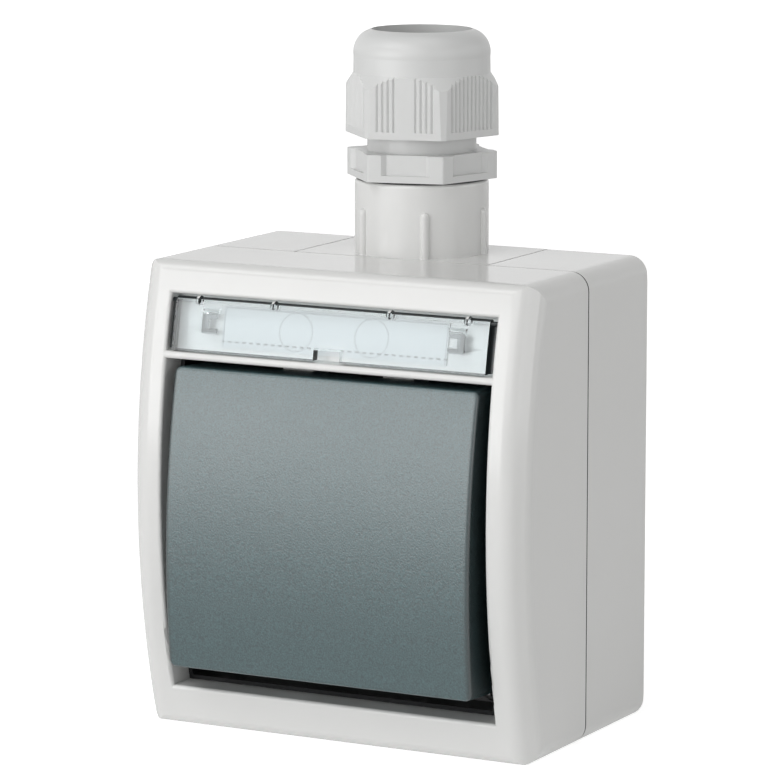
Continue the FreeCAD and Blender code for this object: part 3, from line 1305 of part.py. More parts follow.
def make_gland_cap_nut():
    bore = "upper_thread + nut_play"
    cone_low = "ring_high + 0.15"
    blank = turned("NutBlank", [
        (bore, "nut_low"),
        ("nut_corner", "nut_low"),
        ("nut_corner - 0.15", "shoulder_low"),
        ("dome_radius", "shoulder_high"),
        ("dome_radius - 0.05", "dome_low"),
        ("arc", "mouth_radius + (dome_radius - mouth_radius) * 0.7071",
         "dome_low + dome_height * 0.7071"),
        ("mouth_radius", "dome_top"),
        ("mouth_radius", "dome_top - mouth_depth"),
        (f"ring_radius - 0.4", cone_low),
        (bore, cone_low),
    ])
    blank.Label = "NutTurnedPart"
    flats = hexagon("NutHexagon", "nut_flats", ("nut_low - 1", "dome_top + 1"))
    body = common("NutBody", blank, flats)
    flutes = []
    for side in range(6):
        steps = range(-5, 6)
        if side % 2 == 0:
            steps = [step for step in steps if abs(step) > 1]
        for step in steps:
            flutes.append(flute(side, step))
    node("gland_cap_nut", on_gland_axis(carved("GlandCapNut", body, *flutes)))


def flute(side, step):
    """Upright V-groove in one flat of the nut."""
    groove = doc.addObject("Part::Prism", f"Flute{side + 1}Number{step + 6}")
    groove.Polygon = 4
    bind(groove, "Circumradius", "flute_size")
    bind(groove, "Height", "shoulder_high - nut_low - flute_margin")
    angle = f"({60 * side} + 30 + hex_turn)"
    along = f"({step} * flute_pitch)"
    groove.Placement.Rotation = FreeCAD.Rotation(Z_AXIS, 60 * side + 43.5)
    bind(groove, "Placement.Rotation.Angle", angle)
    return place(groove, f"nut_flats / 2 * cos{angle} - {along} * sin{angle}",
                 f"nut_flats / 2 * sin{angle} + {along} * cos{angle}", "nut_low + flute_margin")


def check_and_write():
    """Stop at the first failed object, then write one file for each sub-part."""
    doc.recompute()
    for thing in doc.Objects:
        if "Invalid" in thing.State or "Error" in thing.State:
            raise RuntimeError(f"{thing.Name} failed: {thing.State}")
    for thing in NODES:
        if thing.Shape.isNull() or not thing.Shape.isValid():
            raise RuntimeError(f"{thing.Label} has no valid shape")
    os.makedirs("parts", exist_ok=True)
    for thing in NODES:
        thing.Shape.exportStep(f"parts/{thing.Label}.step")
        print(f"{thing.Label}: {len(thing.Shape.Solids)} solid(s), {thing.Shape.Volume:.1f} mm3")


def main():
    fill_sheet()
    groove = groove_cutter()
    make_back_box(groove)
    make_entry_insert(groove)
    make_cover_gasket()
    make_wall_screw_seals()
    make_front_cover()
    make_cover_screws()
    make_label_window()
    make_label_card()
    make_rocker()
    make_rocker_carrier()
    make_plunger()
    make_membrane()
    make_membrane_frame()
    make_mechanism_base()
    make_mechanism_screws()
    make_contact_bridge()
    make_fixed_contacts()
    make_terminals()
    make_gland_washer()
    make_gland_body()
    make_gland_seal()
    make_gland_thrust_ring()
    make_gland_cap_nut()
    check_and_write()


main()
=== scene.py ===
"""Looks of an outdoor weatherproof rocker switch with a cable gland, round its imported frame."""
import json
import math

import bmesh
import bpy
from mathutils import Matrix, Vector


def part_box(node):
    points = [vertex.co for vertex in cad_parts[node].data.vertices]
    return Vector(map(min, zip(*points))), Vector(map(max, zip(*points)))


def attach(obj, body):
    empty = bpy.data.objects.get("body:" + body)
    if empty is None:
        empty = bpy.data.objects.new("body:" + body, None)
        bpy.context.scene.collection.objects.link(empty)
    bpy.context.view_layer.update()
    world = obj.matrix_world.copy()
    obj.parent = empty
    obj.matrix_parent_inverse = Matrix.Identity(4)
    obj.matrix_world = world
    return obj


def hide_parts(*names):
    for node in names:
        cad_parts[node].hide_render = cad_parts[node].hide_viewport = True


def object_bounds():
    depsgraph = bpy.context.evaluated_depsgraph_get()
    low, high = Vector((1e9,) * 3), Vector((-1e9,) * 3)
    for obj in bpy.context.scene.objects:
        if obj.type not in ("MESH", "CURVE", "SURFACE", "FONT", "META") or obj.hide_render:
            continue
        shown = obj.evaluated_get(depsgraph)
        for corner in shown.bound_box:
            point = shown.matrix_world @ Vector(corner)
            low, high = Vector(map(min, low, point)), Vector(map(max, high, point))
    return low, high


MM = 0.001
IMAGE_PIXELS = 784

# Camera: degrees to the right of the front and above level, aim and shifts in metres.
CAMERA_TURN = 28.05
CAMERA_RISE = 9.424
CAMERA_FOCUS_PIXELS = 4555.7
CAMERA_DISTANCE = 818.0 * MM
CAMERA_AIM = Vector((0, -20, 8)) * MM
CAMERA_SLIDE = -1.68 * MM
CAMERA_LIFT = 9.16 * MM

# Light. Each lamp: name, turn, rise, distance, width, height, strength.
SOFT_LIGHT = 0.12
FLOOR_GLOW = 0.62
FLOOR_FILL = 0.09
FLOOR_REACH = 3.0
LAMP_AIM = Vector((0, -0.025, 0.0))
LAMPS = (
    ("front_box", -28, 9, 1.0, 0.80, 0.40, 3.15),
    ("high_box", -28, 48, 1.0, 0.80, 0.46, 2.7),
    ("front_fill", 10, 20, 1.2, 0.60, 0.60, 1.55),
    ("side_box", 72, 12, 1.2, 0.60, 0.60, 1.45),
    ("rear_fill", 120, 15, 1.2, 0.80, 0.80, 1.95),
    ("top_box", 60, 82, 1.1, 0.60, 0.60, 1.3),
)

# Finished pieces: edges that count as sharp, in degrees.
SHARP_SHADING = 32.0
SHARP_EDGE = 35.0

# Housing, in millimetres: rounded corners, notch of the entry insert, eased edges.
CORNER_RADIUS = 3.4
NOTCH_SIDE = 22.1
NOTCH_FLOOR = 36.5
SEAM_EASE = 0.22
WALL_EASE = 0.4

# Window and card, in millimetres. The cover's curves share a centre line; PLATE_BACK,
# STEP_BACK and STEP_FRONT are radii about it.
CURVE_CENTRE = 101.5
PLATE_BACK = 149.8
PLATE_SHIFT = 0.5
STEP_START = 30.99
STEP_END = 32.1
STEP_BACK = 150.35
STEP_FRONT = 150.75
STEP_ROWS = 8
STEP_MARGIN = 0.1
# End band of the plate that takes painted shade.
SHADE_BAND = 1.8
PEG_START = 31.05
HINGE_RADIUS = 0.85
NUB_FOOT = 0.9
NUB_TIP = 1.2
NUB_CENTRES = (11.5, 26.6)
NUB_SLIMMING = 0.4
BOSS_HEIGHT = 0.3
CLIP_HEIGHT = 0.5
CLIP_FROM_HINGE = 2.5
CLIP_Z = 31.78
CLIP_DROP = 0.55
CLIP_OUTLINE = ((25.9, 1.7), (25.9, -1.7), (22.9, -1.7), (22.9, -0.85), (24.6, -0.85),
                (24.6, 0.85), (22.9, 0.85), (22.9, 1.7))
CLIP_DEPTHS = (0.02, 0.2)
CARD_DROP = 1.2

# Marks on the card, in millimetres.
MARK_WIDTH = 0.16
OUTLINE_INSET = 0.25
TEAR_HEIGHT = 1.05
DASH_PITCH = 1.45
DASH_LENGTH = 0.8
RING_CENTRES = (-7.6, 7.4)
RING_RADIUS = 3.3
OUTLINE_WEIGHT = 0.5
RING_WEIGHT = 0.4

# Material slots of the finished window, in their order; the second and third are painted shade.
CLEAR, PAINTED_SHADE_EDGE, SHADED_CLIP, WHITE_NUB = range(4)

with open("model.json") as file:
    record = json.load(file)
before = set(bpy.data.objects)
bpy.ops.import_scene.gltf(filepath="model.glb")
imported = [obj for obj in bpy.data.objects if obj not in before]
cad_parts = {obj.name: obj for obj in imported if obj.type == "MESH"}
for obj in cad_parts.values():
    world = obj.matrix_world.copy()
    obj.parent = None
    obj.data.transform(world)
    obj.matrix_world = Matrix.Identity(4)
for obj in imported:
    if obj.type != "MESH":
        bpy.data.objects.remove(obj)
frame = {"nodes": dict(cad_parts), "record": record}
low_corner, high_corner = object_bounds()


class Nodes:
    """A node tree that is filled and wired by short calls."""

    def __init__(self, tree):
        self.tree = tree

    def add(self, kind, inputs=None, **settings):
        node = self.tree.nodes.new(kind)
        for name, value in settings.items():
            setattr(node, name, value)
        for name, value in (inputs or {}).items():
            if isinstance(value, bpy.types.NodeSocket):
                self.tree.links.new(value, node.inputs[name])
            else:
                node.inputs[name].default_value = value
        return node

    def join(self, output, socket):
        self.tree.links.new(output, socket)


def new_group(name, inputs, outputs):
    """Shader node group with named float inputs and named outputs."""
    tree = bpy.data.node_groups.new(name, "ShaderNodeTree")
    tree.interface.new_socket("Position", in_out="INPUT", socket_type="NodeSocketVector")
    for label, value in inputs:
        socket = tree.interface.new_socket(label, in_out="INPUT", socket_type="NodeSocketFloat")
        socket.default_value = value
    for label in outputs:
        tree.interface.new_socket(label, in_out="OUTPUT", socket_type="NodeSocketFloat")
    nodes = Nodes(tree)
    return tree, nodes, nodes.add("NodeGroupInput"), nodes.add("NodeGroupOutput")


def make_moulded_skin():
    """Fine spark-eroded grain of a moulding, with slow changes in gloss and shade."""
    tree, nodes, given, result = new_group(
        "Moulded Skin",
        (("Grain", 3000.0), ("Cloud", 60.0), ("Gloss Drift", 0.1), ("Shade Drift", 0.03),
         ("Speckle", 0.0)),
        ("Height", "Roughness Shift", "Shade"),
    )
    middle = 0.5
    grain = nodes.add("ShaderNodeTexNoise", {
        "Vector": given.outputs["Position"], "Scale": given.outputs["Grain"],
        "Detail": 3.0, "Roughness": 0.6,
    })
    nodes.join(grain.outputs["Fac"], result.inputs["Height"])
    cloud = nodes.add("ShaderNodeTexNoise", {
        "Vector": given.outputs["Position"], "Scale": given.outputs["Cloud"],
        "Detail": 2.0, "Roughness": 0.5,
    })
    centred = nodes.add("ShaderNodeMath", {0: cloud.outputs["Fac"], 1: middle},
                        operation="SUBTRACT")
    bright = nodes.add("ShaderNodeMath", {0: grain.outputs["Fac"], 1: middle},
                       operation="SUBTRACT")
    speckle = nodes.add("ShaderNodeMath", {0: bright.outputs[0], 1: given.outputs["Speckle"],
                                           2: 1.0}, operation="MULTIPLY_ADD")
    gloss = nodes.add("ShaderNodeMath", {0: centred.outputs[0], 1: given.outputs["Gloss Drift"]},
                      operation="MULTIPLY")
    nodes.join(gloss.outputs[0], result.inputs["Roughness Shift"])
    shade = nodes.add("ShaderNodeMath", {0: centred.outputs[0], 1: given.outputs["Shade Drift"],
                                         2: speckle.outputs[0]}, operation="MULTIPLY_ADD")
    nodes.join(shade.outputs[0], result.inputs["Shade"])
    return tree


MOULDED_SKIN = make_moulded_skin()


def new_material(name):
    """Material with its node helper and its main shader."""
    material = bpy.data.materials.new(name)
    material.use_nodes = True
    nodes = Nodes(material.node_tree)
    shader = material.node_tree.nodes["Principled BSDF"]
    return material, nodes, shader


def moulded_plastic(name, colour, roughness, grain_size, grain_height, shade_drift=0.02,
                    gloss_drift=0.06, speckle=0.0, specular=0.5):
    """Injection-moulded plastic: grain_size and grain_height in millimetres."""
    material, nodes, shader = new_material(name)
    place = nodes.add("ShaderNodeTexCoord")
    skin = nodes.add("ShaderNodeGroup", node_tree=MOULDED_SKIN)
    nodes.join(place.outputs["Object"], skin.inputs["Position"])
    skin.inputs["Grain"].default_value = 1 / (grain_size * MM)
    skin.inputs["Cloud"].default_value = 1 / (14 * MM)
    skin.inputs["Gloss Drift"].default_value = gloss_drift
    skin.inputs["Shade Drift"].default_value = shade_drift
    skin.inputs["Speckle"].default_value = speckle
    tint = nodes.add("ShaderNodeVectorMath", {0: colour}, operation="SCALE")
    nodes.join(skin.outputs["Shade"], tint.inputs["Scale"])
    nodes.join(tint.outputs[0], shader.inputs["Base Color"])
    dull = nodes.add("ShaderNodeMath", {0: roughness, 1: skin.outputs["Roughness Shift"]},
                     operation="ADD")
    nodes.join(dull.outputs[0], shader.inputs["Roughness"])
    bump = nodes.add("ShaderNodeBump", {"Strength": 1.0, "Distance": grain_height * MM,
                                        "Height": skin.outputs["Height"]})
    nodes.join(bump.outputs[0], shader.inputs["Normal"])
    shader.inputs["Specular IOR Level"].default_value = specular
    return material


def rocker_plastic(name):
    """Eroded satin face whose flanks are darkened toward the well as painted shade."""
    material = moulded_plastic(name, (0.033, 0.076, 0.083), 0.32, 0.30, 0.045,
                               shade_drift=0.05, speckle=2.6, specular=1.1)
    nodes = Nodes(material.node_tree)
    shader = material.node_tree.nodes["Principled BSDF"]
    place = nodes.add("ShaderNodeTexCoord")
    parts = nodes.add("ShaderNodeSeparateXYZ", {"Vector": place.outputs["Object"]})
    across = nodes.add("ShaderNodeMath", {0: parts.outputs["X"]}, operation="ABSOLUTE")
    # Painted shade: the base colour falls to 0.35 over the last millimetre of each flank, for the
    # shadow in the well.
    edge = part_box("rocker")[1][0]
    painted_flank_shade = nodes.add("ShaderNodeMapRange", {"Value": across.outputs[0],
                                             "From Min": edge - 1.1 * MM,
                                             "From Max": edge - 0.1 * MM,
                                             "To Min": 1.0, "To Max": 0.35})
    plain = shader.inputs["Base Color"].links[0].from_socket
    tint = nodes.add("ShaderNodeVectorMath", {0: plain}, operation="SCALE")
    nodes.join(painted_flank_shade.outputs[0], tint.inputs["Scale"])
    nodes.join(tint.outputs[0], shader.inputs["Base Color"])
    return material


def metal(name, colour, roughness):
    """Plated metal with faint tool marks."""
    material, nodes, shader = new_material(name)
    place = nodes.add("ShaderNodeTexCoord")
    stretch = nodes.add("ShaderNodeMapping", {"Vector": place.outputs["Object"],
                                              "Scale": (900, 900, 9000)})
    marks = nodes.add("ShaderNodeTexNoise", {"Vector": stretch.outputs[0], "Scale": 1.0,
                                             "Detail": 2.0})
    shade = nodes.add("ShaderNodeMapRange", {"Value": marks.outputs["Fac"],
                                             "To Min": 0.88, "To Max": 1.08})
    tint = nodes.add("ShaderNodeVectorMath", {0: colour}, operation="SCALE")
    nodes.join(shade.outputs[0], tint.inputs["Scale"])
    nodes.join(tint.outputs[0], shader.inputs["Base Color"])
    dull = nodes.add("ShaderNodeMapRange", {"Value": marks.outputs["Fac"],
                                            "To Min": roughness - 0.06,
                                            "To Max": roughness + 0.08})
    nodes.join(dull.outputs[0], shader.inputs["Roughness"])
    bump = nodes.add("ShaderNodeBump", {"Strength": 0.3, "Distance": 0.01 * MM,
                                        "Height": marks.outputs["Fac"]})
    nodes.join(bump.outputs[0], shader.inputs["Normal"])
    shader.inputs["Metallic"].default_value = 1.0
    return material


def clear_plastic(name):
    """Clear moulded window with a bluish cast; lamps shine through it."""
    material, nodes, shader = new_material(name)
    place = nodes.add("ShaderNodeTexCoord")
    skin = nodes.add("ShaderNodeGroup", node_tree=MOULDED_SKIN)
    nodes.join(place.outputs["Object"], skin.inputs["Position"])
    skin.inputs["Grain"].default_value = 1 / (8 * MM)
    skin.inputs["Cloud"].default_value = 1 / (20 * MM)
    bump = nodes.add("ShaderNodeBump", {"Strength": 1.0, "Distance": 0.01 * MM,
                                        "Height": skin.outputs["Height"]})
    nodes.join(bump.outputs[0], shader.inputs["Normal"])
    shader.inputs["Base Color"].default_value = (0.84, 0.875, 0.885, 1)
    shader.inputs["Roughness"].default_value = 0.03
    shader.inputs["IOR"].default_value = 1.49
    shader.inputs["Transmission Weight"].default_value = 1.0
    path = nodes.add("ShaderNodeLightPath")
    clear = nodes.add("ShaderNodeBsdfTransparent", {"Color": (0.88, 0.92, 0.93, 1)})
    through = nodes.add("ShaderNodeMath", {0: path.outputs["Is Shadow Ray"],
                                           1: path.outputs["Is Diffuse Ray"]},
                        operation="MAXIMUM")
    mixed = nodes.add("ShaderNodeMixShader", {"Fac": through.outputs[0],
                                              1: shader.outputs[0], 2: clear.outputs[0]})
    nodes.join(mixed.outputs[0], material.node_tree.nodes["Material Output"].inputs["Surface"])
    return material


def make_card_marks(half_width, low, high):
    """Faint outline, tear line and two rings pressed into the label card, as a mask."""
    tree, nodes, given, result = new_group(
        "Card Marks", (("Line Width", MARK_WIDTH * MM),), ("Mark",)
    )
    line = given.outputs["Line Width"]
    parts = nodes.add("ShaderNodeSeparateXYZ", {"Vector": given.outputs["Position"]})
    across = nodes.add("ShaderNodeMath", {0: parts.outputs["X"]},
                       operation="ABSOLUTE").outputs[0]
    middle = (low + high) / 2
    upward = nodes.add("ShaderNodeMath", {0: parts.outputs["Z"], 1: middle},
                       operation="SUBTRACT").outputs[0]

    def near(value, target):
        """1 where value lies within a line's width of target."""
        gap = nodes.add("ShaderNodeMath", {0: value, 1: target}, operation="SUBTRACT")
        gap = nodes.add("ShaderNodeMath", {0: gap.outputs[0]}, operation="ABSOLUTE")
        return nodes.add("ShaderNodeMath", {0: gap.outputs[0], 1: line},
                         operation="LESS_THAN").outputs[0]

    def most(first, second):
        """The larger of two masks."""
        return nodes.add("ShaderNodeMath", {0: first, 1: second}, operation="MAXIMUM").outputs[0]

    half_height = (high - low) / 2
    inset = OUTLINE_INSET * MM
    outline = most(near(across, half_width - inset), near(upward, half_height - inset))
    marks = nodes.add("ShaderNodeMath", {0: outline, 1: OUTLINE_WEIGHT},
                      operation="MULTIPLY").outputs[0]
    dash = nodes.add("ShaderNodeMath", {0: parts.outputs["X"], 1: DASH_PITCH * MM},
                     operation="MODULO")
    dash = nodes.add("ShaderNodeMath", {0: dash.outputs[0]}, operation="ABSOLUTE")
    dash = nodes.add("ShaderNodeMath", {0: dash.outputs[0], 1: DASH_LENGTH * MM},
                     operation="LESS_THAN")
    tear = nodes.add("ShaderNodeMath", {0: near(upward, TEAR_HEIGHT * MM - half_height),
                                        1: dash.outputs[0]}, operation="MULTIPLY")
    marks = most(marks, tear.outputs[0])
    for centre in RING_CENTRES:
        aside = nodes.add("ShaderNodeMath", {0: parts.outputs["X"], 1: centre * MM},
                          operation="SUBTRACT")
        point = nodes.add("ShaderNodeCombineXYZ", {"X": aside.outputs[0], "Y": upward})
        reach = nodes.add("ShaderNodeVectorMath", {0: point.outputs[0]}, operation="LENGTH")
        line_mask = near(reach.outputs["Value"], RING_RADIUS * MM)
        ring = nodes.add("ShaderNodeMath", {0: line_mask, 1: RING_WEIGHT},
                         operation="MULTIPLY")
        marks = most(marks, ring.outputs[0])
    nodes.join(marks, result.inputs["Mark"])
    return tree


def marked_card(name, colour, marks):
    """Satin label card whose pressed marks are a little darker."""
    material = moulded_plastic(name, colour, 0.6, 0.3, 0.008)
    nodes = Nodes(material.node_tree)
    shader = material.node_tree.nodes["Principled BSDF"]
    place = nodes.add("ShaderNodeTexCoord")
    mask = nodes.add("ShaderNodeGroup", node_tree=marks)
    nodes.join(place.outputs["Object"], mask.inputs["Position"])
    shade = nodes.add("ShaderNodeMapRange", {"Value": mask.outputs["Mark"], "To Min": 1.0,
                                             "To Max": 0.5})
    plain = shader.inputs["Base Color"].links[0].from_socket
    tint = nodes.add("ShaderNodeVectorMath", {0: plain}, operation="SCALE")
    nodes.join(shade.outputs[0], tint.inputs["Scale"])
    nodes.join(tint.outputs[0], shader.inputs["Base Color"])
    return material


def make_materials():
    """All materials by the name of their slot."""
    white = (0.80, 0.80, 0.79)
    card_low, card_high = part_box("label_card")
    marks = make_card_marks(card_high[0], card_low[2] - CARD_DROP * MM, card_high[2])
    return {
        "white_shell": moulded_plastic("white_shell", white, 0.14, 0.35, 0.003),
        "dark_rocker": rocker_plastic("dark_rocker"),
        "clear_window": clear_plastic("clear_window"),
        # Painted shade: near-black for the shadow on the window's cut ends, hinge top, lowest
        # face and side gaps.
        "window_painted_shade": moulded_plastic("window_painted_shade", (0.012, 0.017, 0.019), 0.22, 0.4, 0.002),
        # Painted shade: grey for the clips as they look shaded through the window.
        "window_clip_shade": moulded_plastic("window_clip_shade", (0.23, 0.245, 0.25), 0.4, 0.4, 0.004),
        "card": marked_card("card", (0.80, 0.815, 0.825), marks),
        "black_rubber": moulded_plastic("black_rubber", (0.022, 0.022, 0.023), 0.55, 0.4,
                                        0.015),
        "black_plastic": moulded_plastic("black_plastic", (0.014, 0.015, 0.016), 0.42, 0.4,
                                         0.01),
        # Painted shade: steel kept darker than bare steel, so the screws in the shaded well show
        # no glint.
        "steel": metal("steel", (0.22, 0.22, 0.22), 0.5),
        "spring_steel": metal("spring_steel", (0.50, 0.50, 0.51), 0.28),
        "brass": metal("brass", (0.72, 0.55, 0.26), 0.28),
        "contact_metal": metal("contact_metal", (0.80, 0.79, 0.76), 0.25),
        # Partly painted shade: cream darkened below the plastic's own colour for the cream parts
        # deep in the well.
        "cream_plastic": moulded_plastic("cream_plastic", (0.34, 0.32, 0.27), 0.5, 0.5, 0.012),
        "nylon": moulded_plastic("nylon", (0.71, 0.715, 0.71), 0.30, 0.45, 0.006),
    }


MATERIALS = make_materials()
RECORD = frame["record"]
NODE_SLOTS = {item["node"]: item["material_slot"] for item in RECORD["subparts"]}
NODE_BODIES = {
    node: body for body, nodes in RECORD["behaviour"]["bodies"].items() for node in nodes
}


def finish_cad_node(name):
    """Give a CAD node the material of its slot."""
    thing = frame["nodes"][name]
    thing.data.materials.clear()
    thing.data.materials.append(MATERIALS[NODE_SLOTS[name]])


def whole_copy(name):
    """Editable copy of a CAD node with its loose triangles joined and flat areas merged."""
    shape = bmesh.new()
    shape.from_mesh(frame["nodes"][name].data)
    bmesh.ops.remove_doubles(shape, verts=shape.verts, dist=0.0005 * MM)
    bmesh.ops.dissolve_limit(shape, angle_limit=math.radians(0.3), verts=shape.verts,
                             edges=shape.edges, delimit={"NORMAL"})
    return shape


def ease_edges(shape, width, wanted):
    """Round the wanted sharp edges, as a mould leaves them; width in millimetres."""
    shape.normal_update()
    sharp = [
        edge for edge in shape.edges
        if len(edge.link_faces) == 2
        and edge.calc_face_angle() > math.radians(SHARP_EDGE)
        and wanted(*((edge.verts[0].co + edge.verts[1].co) / 2 / MM))
    ]
    bmesh.ops.bevel(shape, geom=sharp, offset=width * MM, segments=2, profile=0.5,
                    affect="EDGES", clamp_overlap=True, loop_slide=True)


def finished_piece(name, shape, slots):
    """Object made from shape that stands for the CAD node of that name."""
    mesh = bpy.data.meshes.new(f"{name}_finished")
    shape.to_mesh(mesh)
    shape.free()
    for slot in slots:
        mesh.materials.append(MATERIALS[slot])
    mesh.shade_smooth()
    mesh.set_sharp_from_angle(angle=math.radians(SHARP_SHADING))
    piece = bpy.data.objects.new(f"{name}_finished", mesh)
    bpy.context.scene.collection.objects.link(piece)
    weigh = piece.modifiers.new("even_normals", "WEIGHTED_NORMAL")
    weigh.keep_sharp = True
    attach(piece, NODE_BODIES[name])
    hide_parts(name)


HINGE_Y, HINGE_Z = next(
    (joint["pos_m"][1] / MM, joint["pos_m"][2] / MM)
    for joint in RECORD["behaviour"]["joints"] if joint["name"] == "window_lift"
)


HALF_WIDTH, HALF_HEIGHT = (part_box("back_box")[1][axis] / MM for axis in (0, 2))


def on_outside(x, z):
    """True on the outer sides of the back box, seen from the front."""
    past_x = max(0, abs(x) - HALF_WIDTH + CORNER_RADIUS)
    past_z = max(0, abs(z) - HALF_HEIGHT + CORNER_RADIUS)
    return (abs(abs(x) - HALF_WIDTH) < 0.02 or abs(abs(z) - HALF_HEIGHT) < 0.02
            or math.hypot(past_x, past_z) > CORNER_RADIUS - 0.1)


def finish_housing():
    """Back box whose seam edge and wall edge are slightly eased, with painted shade on the faces
    inside its seam and entry notch.
    """
    box_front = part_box("back_box")[0][1] / MM
    shape = whole_copy("back_box")
    ease_edges(shape, SEAM_EASE,
               lambda x, y, z: abs(y - box_front) < 0.02 and on_outside(x, z))
    ease_edges(shape, WALL_EASE, lambda x, y, z: abs(y) < 0.02 and on_outside(x, z))
    shape.normal_update()
    # Painted shade: the rim face inside the seam and the walls of the entry notch take black
    # rubber, for the shadow in these gaps.
    for face in shape.faces:
        x, y, z = face.calc_center_median() / MM
        seam_shade = face.normal.y < -0.9 and abs(y - box_front) < 0.05
        notch_shade = (abs(face.normal.x) > 0.9 and abs(abs(x) - NOTCH_SIDE) < 0.4
                    and z > NOTCH_FLOOR)
        face.material_index = 1 if seam_shade or notch_shade else 0
    finished_piece("back_box", shape, ["white_shell", "black_rubber"])


def on_arc(radius, z):
    """How far forward the cover's curve of that radius stands at height z."""
    return CURVE_CENTRE - math.sqrt(radius ** 2 - z ** 2)


def window_place(x, y, z):
    """Where a point of the window goes: plate forward, low clips, slim nubs, pegs unmoved."""
    from_hinge = math.hypot(y - HINGE_Y, z - HINGE_Z)
    radius = math.hypot(y - CURVE_CENTRE, z)
    side = math.copysign(1, x)
    if from_hinge < NUB_TIP and abs(x) > PEG_START:
        return x, y, z
    if radius < PLATE_BACK - CLIP_HEIGHT and from_hinge > CLIP_FROM_HINGE:
        radius = PLATE_BACK - BOSS_HEIGHT
    if NUB_FOOT < from_hinge < NUB_TIP:
        middle = min(NUB_CENTRES, key=lambda centre: abs(centre - abs(x)))
        x = side * (middle + (abs(x) - middle) * NUB_SLIMMING)
    return x, on_arc(radius + PLATE_SHIFT, z), z


def is_nub(face):
    """True for a face whose points all lie on a nub of the hinge edge."""
    return all(
        NUB_FOOT < math.hypot(vert.co.y / MM - HINGE_Y, vert.co.z / MM - HINGE_Z) < NUB_TIP
        for vert in face.verts
    )


def add_clip_cap(shape, side):
    """Flat face of a clip, just under the plate, in grey painted shade."""
    layers = []
    for depth in CLIP_DEPTHS:
        layer = []
        for x, rise in CLIP_OUTLINE:
            z = CLIP_Z - CLIP_DROP + rise
            y = on_arc(PLATE_BACK + PLATE_SHIFT - depth, z)
            layer.append(shape.verts.new((side * x * MM, y * MM, z * MM)))
        layers.append(layer)
    faces = [shape.faces.new(layers[0]), shape.faces.new(reversed(layers[1]))]
    count = len(CLIP_OUTLINE)
    for here in range(count):
        after = (here + 1) % count
        faces.append(shape.faces.new((layers[0][here], layers[1][here], layers[1][after],
                                      layers[0][after])))
    bmesh.ops.recalc_face_normals(shape, faces=faces)
    # Painted shade: the clip face is grey for the shade on it behind the plate.
    for face in faces:
        face.material_index = SHADED_CLIP


def add_painted_shade_step(shape, side, low, high):
    """Lower step at the plate's end in painted shade: a near-black block that fills the gap to
    the opening's side.
    """
    rings = []
    for row in range(STEP_ROWS + 1):
        z = low + (high - low) * row / STEP_ROWS
        corners = ((STEP_START, STEP_BACK), (STEP_START, STEP_FRONT), (STEP_END, STEP_FRONT),
                   (STEP_END, STEP_BACK))
        rings.append([
            shape.verts.new((side * x * MM, on_arc(radius, z) * MM, z * MM))
            for x, radius in corners
        ])
    faces = [shape.faces.new(rings[0]), shape.faces.new(reversed(rings[-1]))]
    for below, above in zip(rings, rings[1:]):
        for here in range(4):
            after = (here + 1) % 4
            faces.append(shape.faces.new((below[here], above[here], above[after],
                                          below[after])))
    bmesh.ops.recalc_face_normals(shape, faces=faces)
    # Painted shade: the whole step takes the near-black slot.
    for face in faces:
        face.material_index = PAINTED_SHADE_EDGE


def finish_window():
    """Clear plate with painted shade on its cut ends, hinge top and lowest face, and grey
    painted-shade clips behind it.
    """
    low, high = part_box("label_window")
    shape = whole_copy("label_window")
    shape.normal_update()
    for face in shape.faces:
        x, y, z = face.calc_center_median() / MM
        from_hinge = math.hypot(y - HINGE_Y, z - HINGE_Z)
        face.material_index = CLEAR
        # Painted shade: the plate's ends, the hinge top and the lowest face take the near-black
        # slot.
        if abs(x) > high[0] / MM - SHADE_BAND:
            face.material_index = PAINTED_SHADE_EDGE
        elif from_hinge > HINGE_RADIUS and face.normal.z > 0.6 and is_nub(face):
            face.material_index = WHITE_NUB
        elif from_hinge < HINGE_RADIUS and face.normal.z > 0.5:
            face.material_index = PAINTED_SHADE_EDGE
        elif face.normal.z < -0.8 and z < low[2] / MM + 0.3:
            face.material_index = PAINTED_SHADE_EDGE
    for vert in shape.verts:
        vert.co = Vector(window_place(*(vert.co / MM))) * MM
    for side in (-1, 1):
        add_clip_cap(shape, side)
        add_painted_shade_step(shape, side, low[2] / MM + STEP_MARGIN, HINGE_Z - STEP_MARGIN)
    finished_piece("label_window", shape, ["clear_window", "window_painted_shade", "window_clip_shade",
                                            "white_shell"])


def finish_card():
    """Label card that reaches down to the shelf."""
    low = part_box("label_card")[0]
    shape = whole_copy("label_card")
    for vert in shape.verts:
        x, y, z = vert.co / MM
        if z < low[2] / MM + 0.1:
            radius = math.hypot(y - CURVE_CENTRE, z)
            z -= CARD_DROP
            vert.co = Vector((x, on_arc(radius, z), z)) * MM
    finished_piece("label_card", shape, ["card"])


def make_camera():
    """Camera where the photograph was taken from."""
    turn = math.radians(CAMERA_TURN)
    rise = math.radians(CAMERA_RISE)
    right = Vector((math.cos(turn), math.sin(turn), 0))
    back = Vector((math.sin(turn) * math.cos(rise), -math.cos(turn) * math.cos(rise),
                   math.sin(rise)))
    up = back.cross(right)
    data = bpy.data.cameras.new("camera")
    data.sensor_width = 36.0
    data.lens = data.sensor_width * CAMERA_FOCUS_PIXELS / IMAGE_PIXELS
    data.clip_start = 0.05
    camera = bpy.data.objects.new("camera", data)
    bpy.context.scene.collection.objects.link(camera)
    aim = CAMERA_AIM + right * CAMERA_SLIDE + up * CAMERA_LIFT
    place = Matrix((right, up, back)).transposed().to_4x4()
    place.translation = aim + back * CAMERA_DISTANCE
    camera.matrix_world = place
    bpy.context.scene.camera = camera


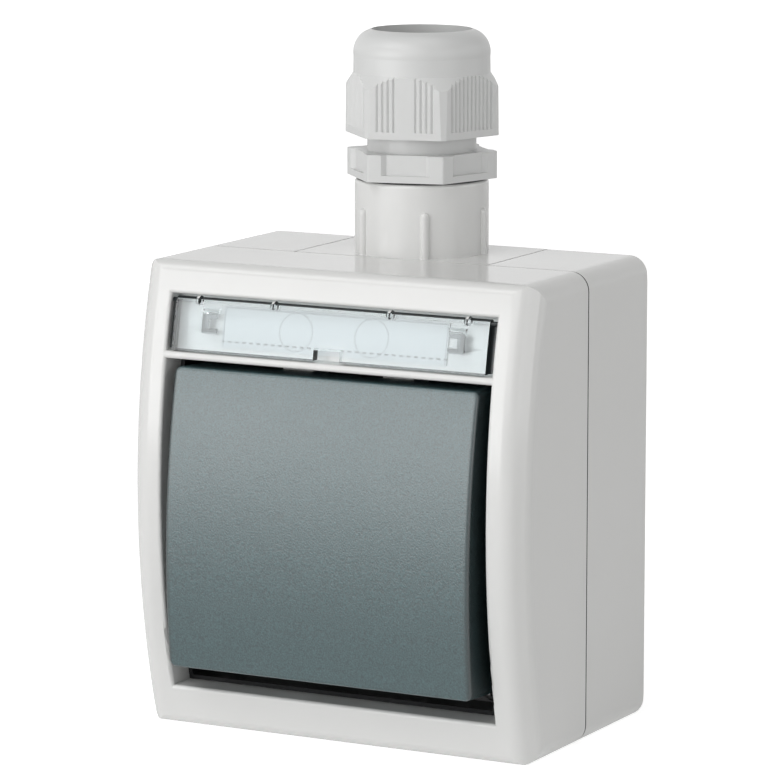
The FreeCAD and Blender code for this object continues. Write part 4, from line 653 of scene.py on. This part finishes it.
def make_lamp(name, turn, rise, distance, width, height, strength):
    """Soft box in a direction round the object: turn to the right of the front."""
    turn = math.radians(turn)
    rise = math.radians(rise)
    back = Vector((math.sin(turn) * math.cos(rise), -math.cos(turn) * math.cos(rise),
                   math.sin(rise)))
    data = bpy.data.lights.new(name, "AREA")
    data.shape = "RECTANGLE"
    data.size = width
    data.size_y = height
    data.energy = strength
    lamp = bpy.data.objects.new(name, data)
    lamp.location = LAMP_AIM + back * distance
    lamp.rotation_mode = "QUATERNION"
    lamp.rotation_quaternion = (-back).to_track_quat("-Z", "Y")
    bpy.context.scene.collection.objects.link(lamp)


def seen_directly(nodes, in_gloss):
    """1 for what the camera sees itself or through the window, in_gloss for reflections."""
    path = nodes.add("ShaderNodeLightPath")
    gloss = nodes.add("ShaderNodeMath", {0: path.outputs["Is Glossy Ray"], 1: in_gloss},
                      operation="MULTIPLY")
    seen = nodes.add("ShaderNodeMath", {0: path.outputs["Is Camera Ray"],
                                        1: gloss.outputs[0]}, operation="MAXIMUM")
    seen = nodes.add("ShaderNodeMath", {0: seen.outputs[0],
                                        1: path.outputs["Is Transmission Ray"]},
                     operation="MAXIMUM")
    first = nodes.add("ShaderNodeMath", {0: path.outputs["Diffuse Depth"], 1: 0.5},
                      operation="LESS_THAN")
    return nodes.add("ShaderNodeMath", {0: seen.outputs[0], 1: first.outputs[0]},
                     operation="MULTIPLY").outputs[0]


def make_world():
    """Plain grey soft light, white where the camera or a gloss sees it."""
    world = bpy.data.worlds.new("studio")
    bpy.context.scene.world = world
    world.use_nodes = True
    nodes = Nodes(world.node_tree)
    world.node_tree.nodes.clear()
    soft = nodes.add("ShaderNodeBackground", {"Color": (1, 1, 0.97, 1), "Strength": SOFT_LIGHT})
    white = nodes.add("ShaderNodeBackground", {"Color": (1, 1, 1, 1), "Strength": 1.0})
    mixed = nodes.add("ShaderNodeMixShader", {"Fac": seen_directly(nodes, 1.0),
                                              1: soft.outputs[0], 2: white.outputs[0]})
    output = nodes.add("ShaderNodeOutputWorld")
    nodes.join(mixed.outputs[0], output.inputs["Surface"])


def make_floor():
    """Pale floor that shows as white and keeps the object's shadow."""
    mesh = bpy.data.meshes.new("floor")
    reach = FLOOR_REACH
    level = low_corner.z - 0.02 * MM
    corners = [(-reach, -reach, level), (reach, -reach, level), (reach, reach, level),
               (-reach, reach, level)]
    mesh.from_pydata(corners, [], [(0, 1, 2, 3)])
    floor = bpy.data.objects.new("floor", mesh)
    bpy.context.scene.collection.objects.link(floor)
    material, nodes, shader = new_material("floor")
    shader.inputs["Base Color"].default_value = (0.90, 0.90, 0.90, 1)
    shader.inputs["Roughness"].default_value = 0.8
    place = nodes.add("ShaderNodeTexCoord")
    away = nodes.add("ShaderNodeVectorMath", {0: place.outputs["Object"]}, operation="LENGTH")
    shown = nodes.add("ShaderNodeMapRange", {"Value": away.outputs["Value"], "From Min": 0.4,
                                             "From Max": 1.4, "To Min": FLOOR_GLOW,
                                             "To Max": 1.0})
    glow = nodes.add("ShaderNodeMath", {0: seen_directly(nodes, 0.4), 1: shown.outputs[0],
                                        2: FLOOR_FILL}, operation="MULTIPLY_ADD")
    nodes.join(glow.outputs[0], shader.inputs["Emission Strength"])
    shader.inputs["Emission Color"].default_value = (1, 1, 1, 1)
    mesh.materials.append(material)


for node_name in frame["nodes"]:
    finish_cad_node(node_name)
finish_housing()
finish_window()
finish_card()
make_camera()
for lamp in LAMPS:
    make_lamp(*lamp)
make_world()
make_floor()
bpy.context.scene.view_settings.view_transform = "Standard"
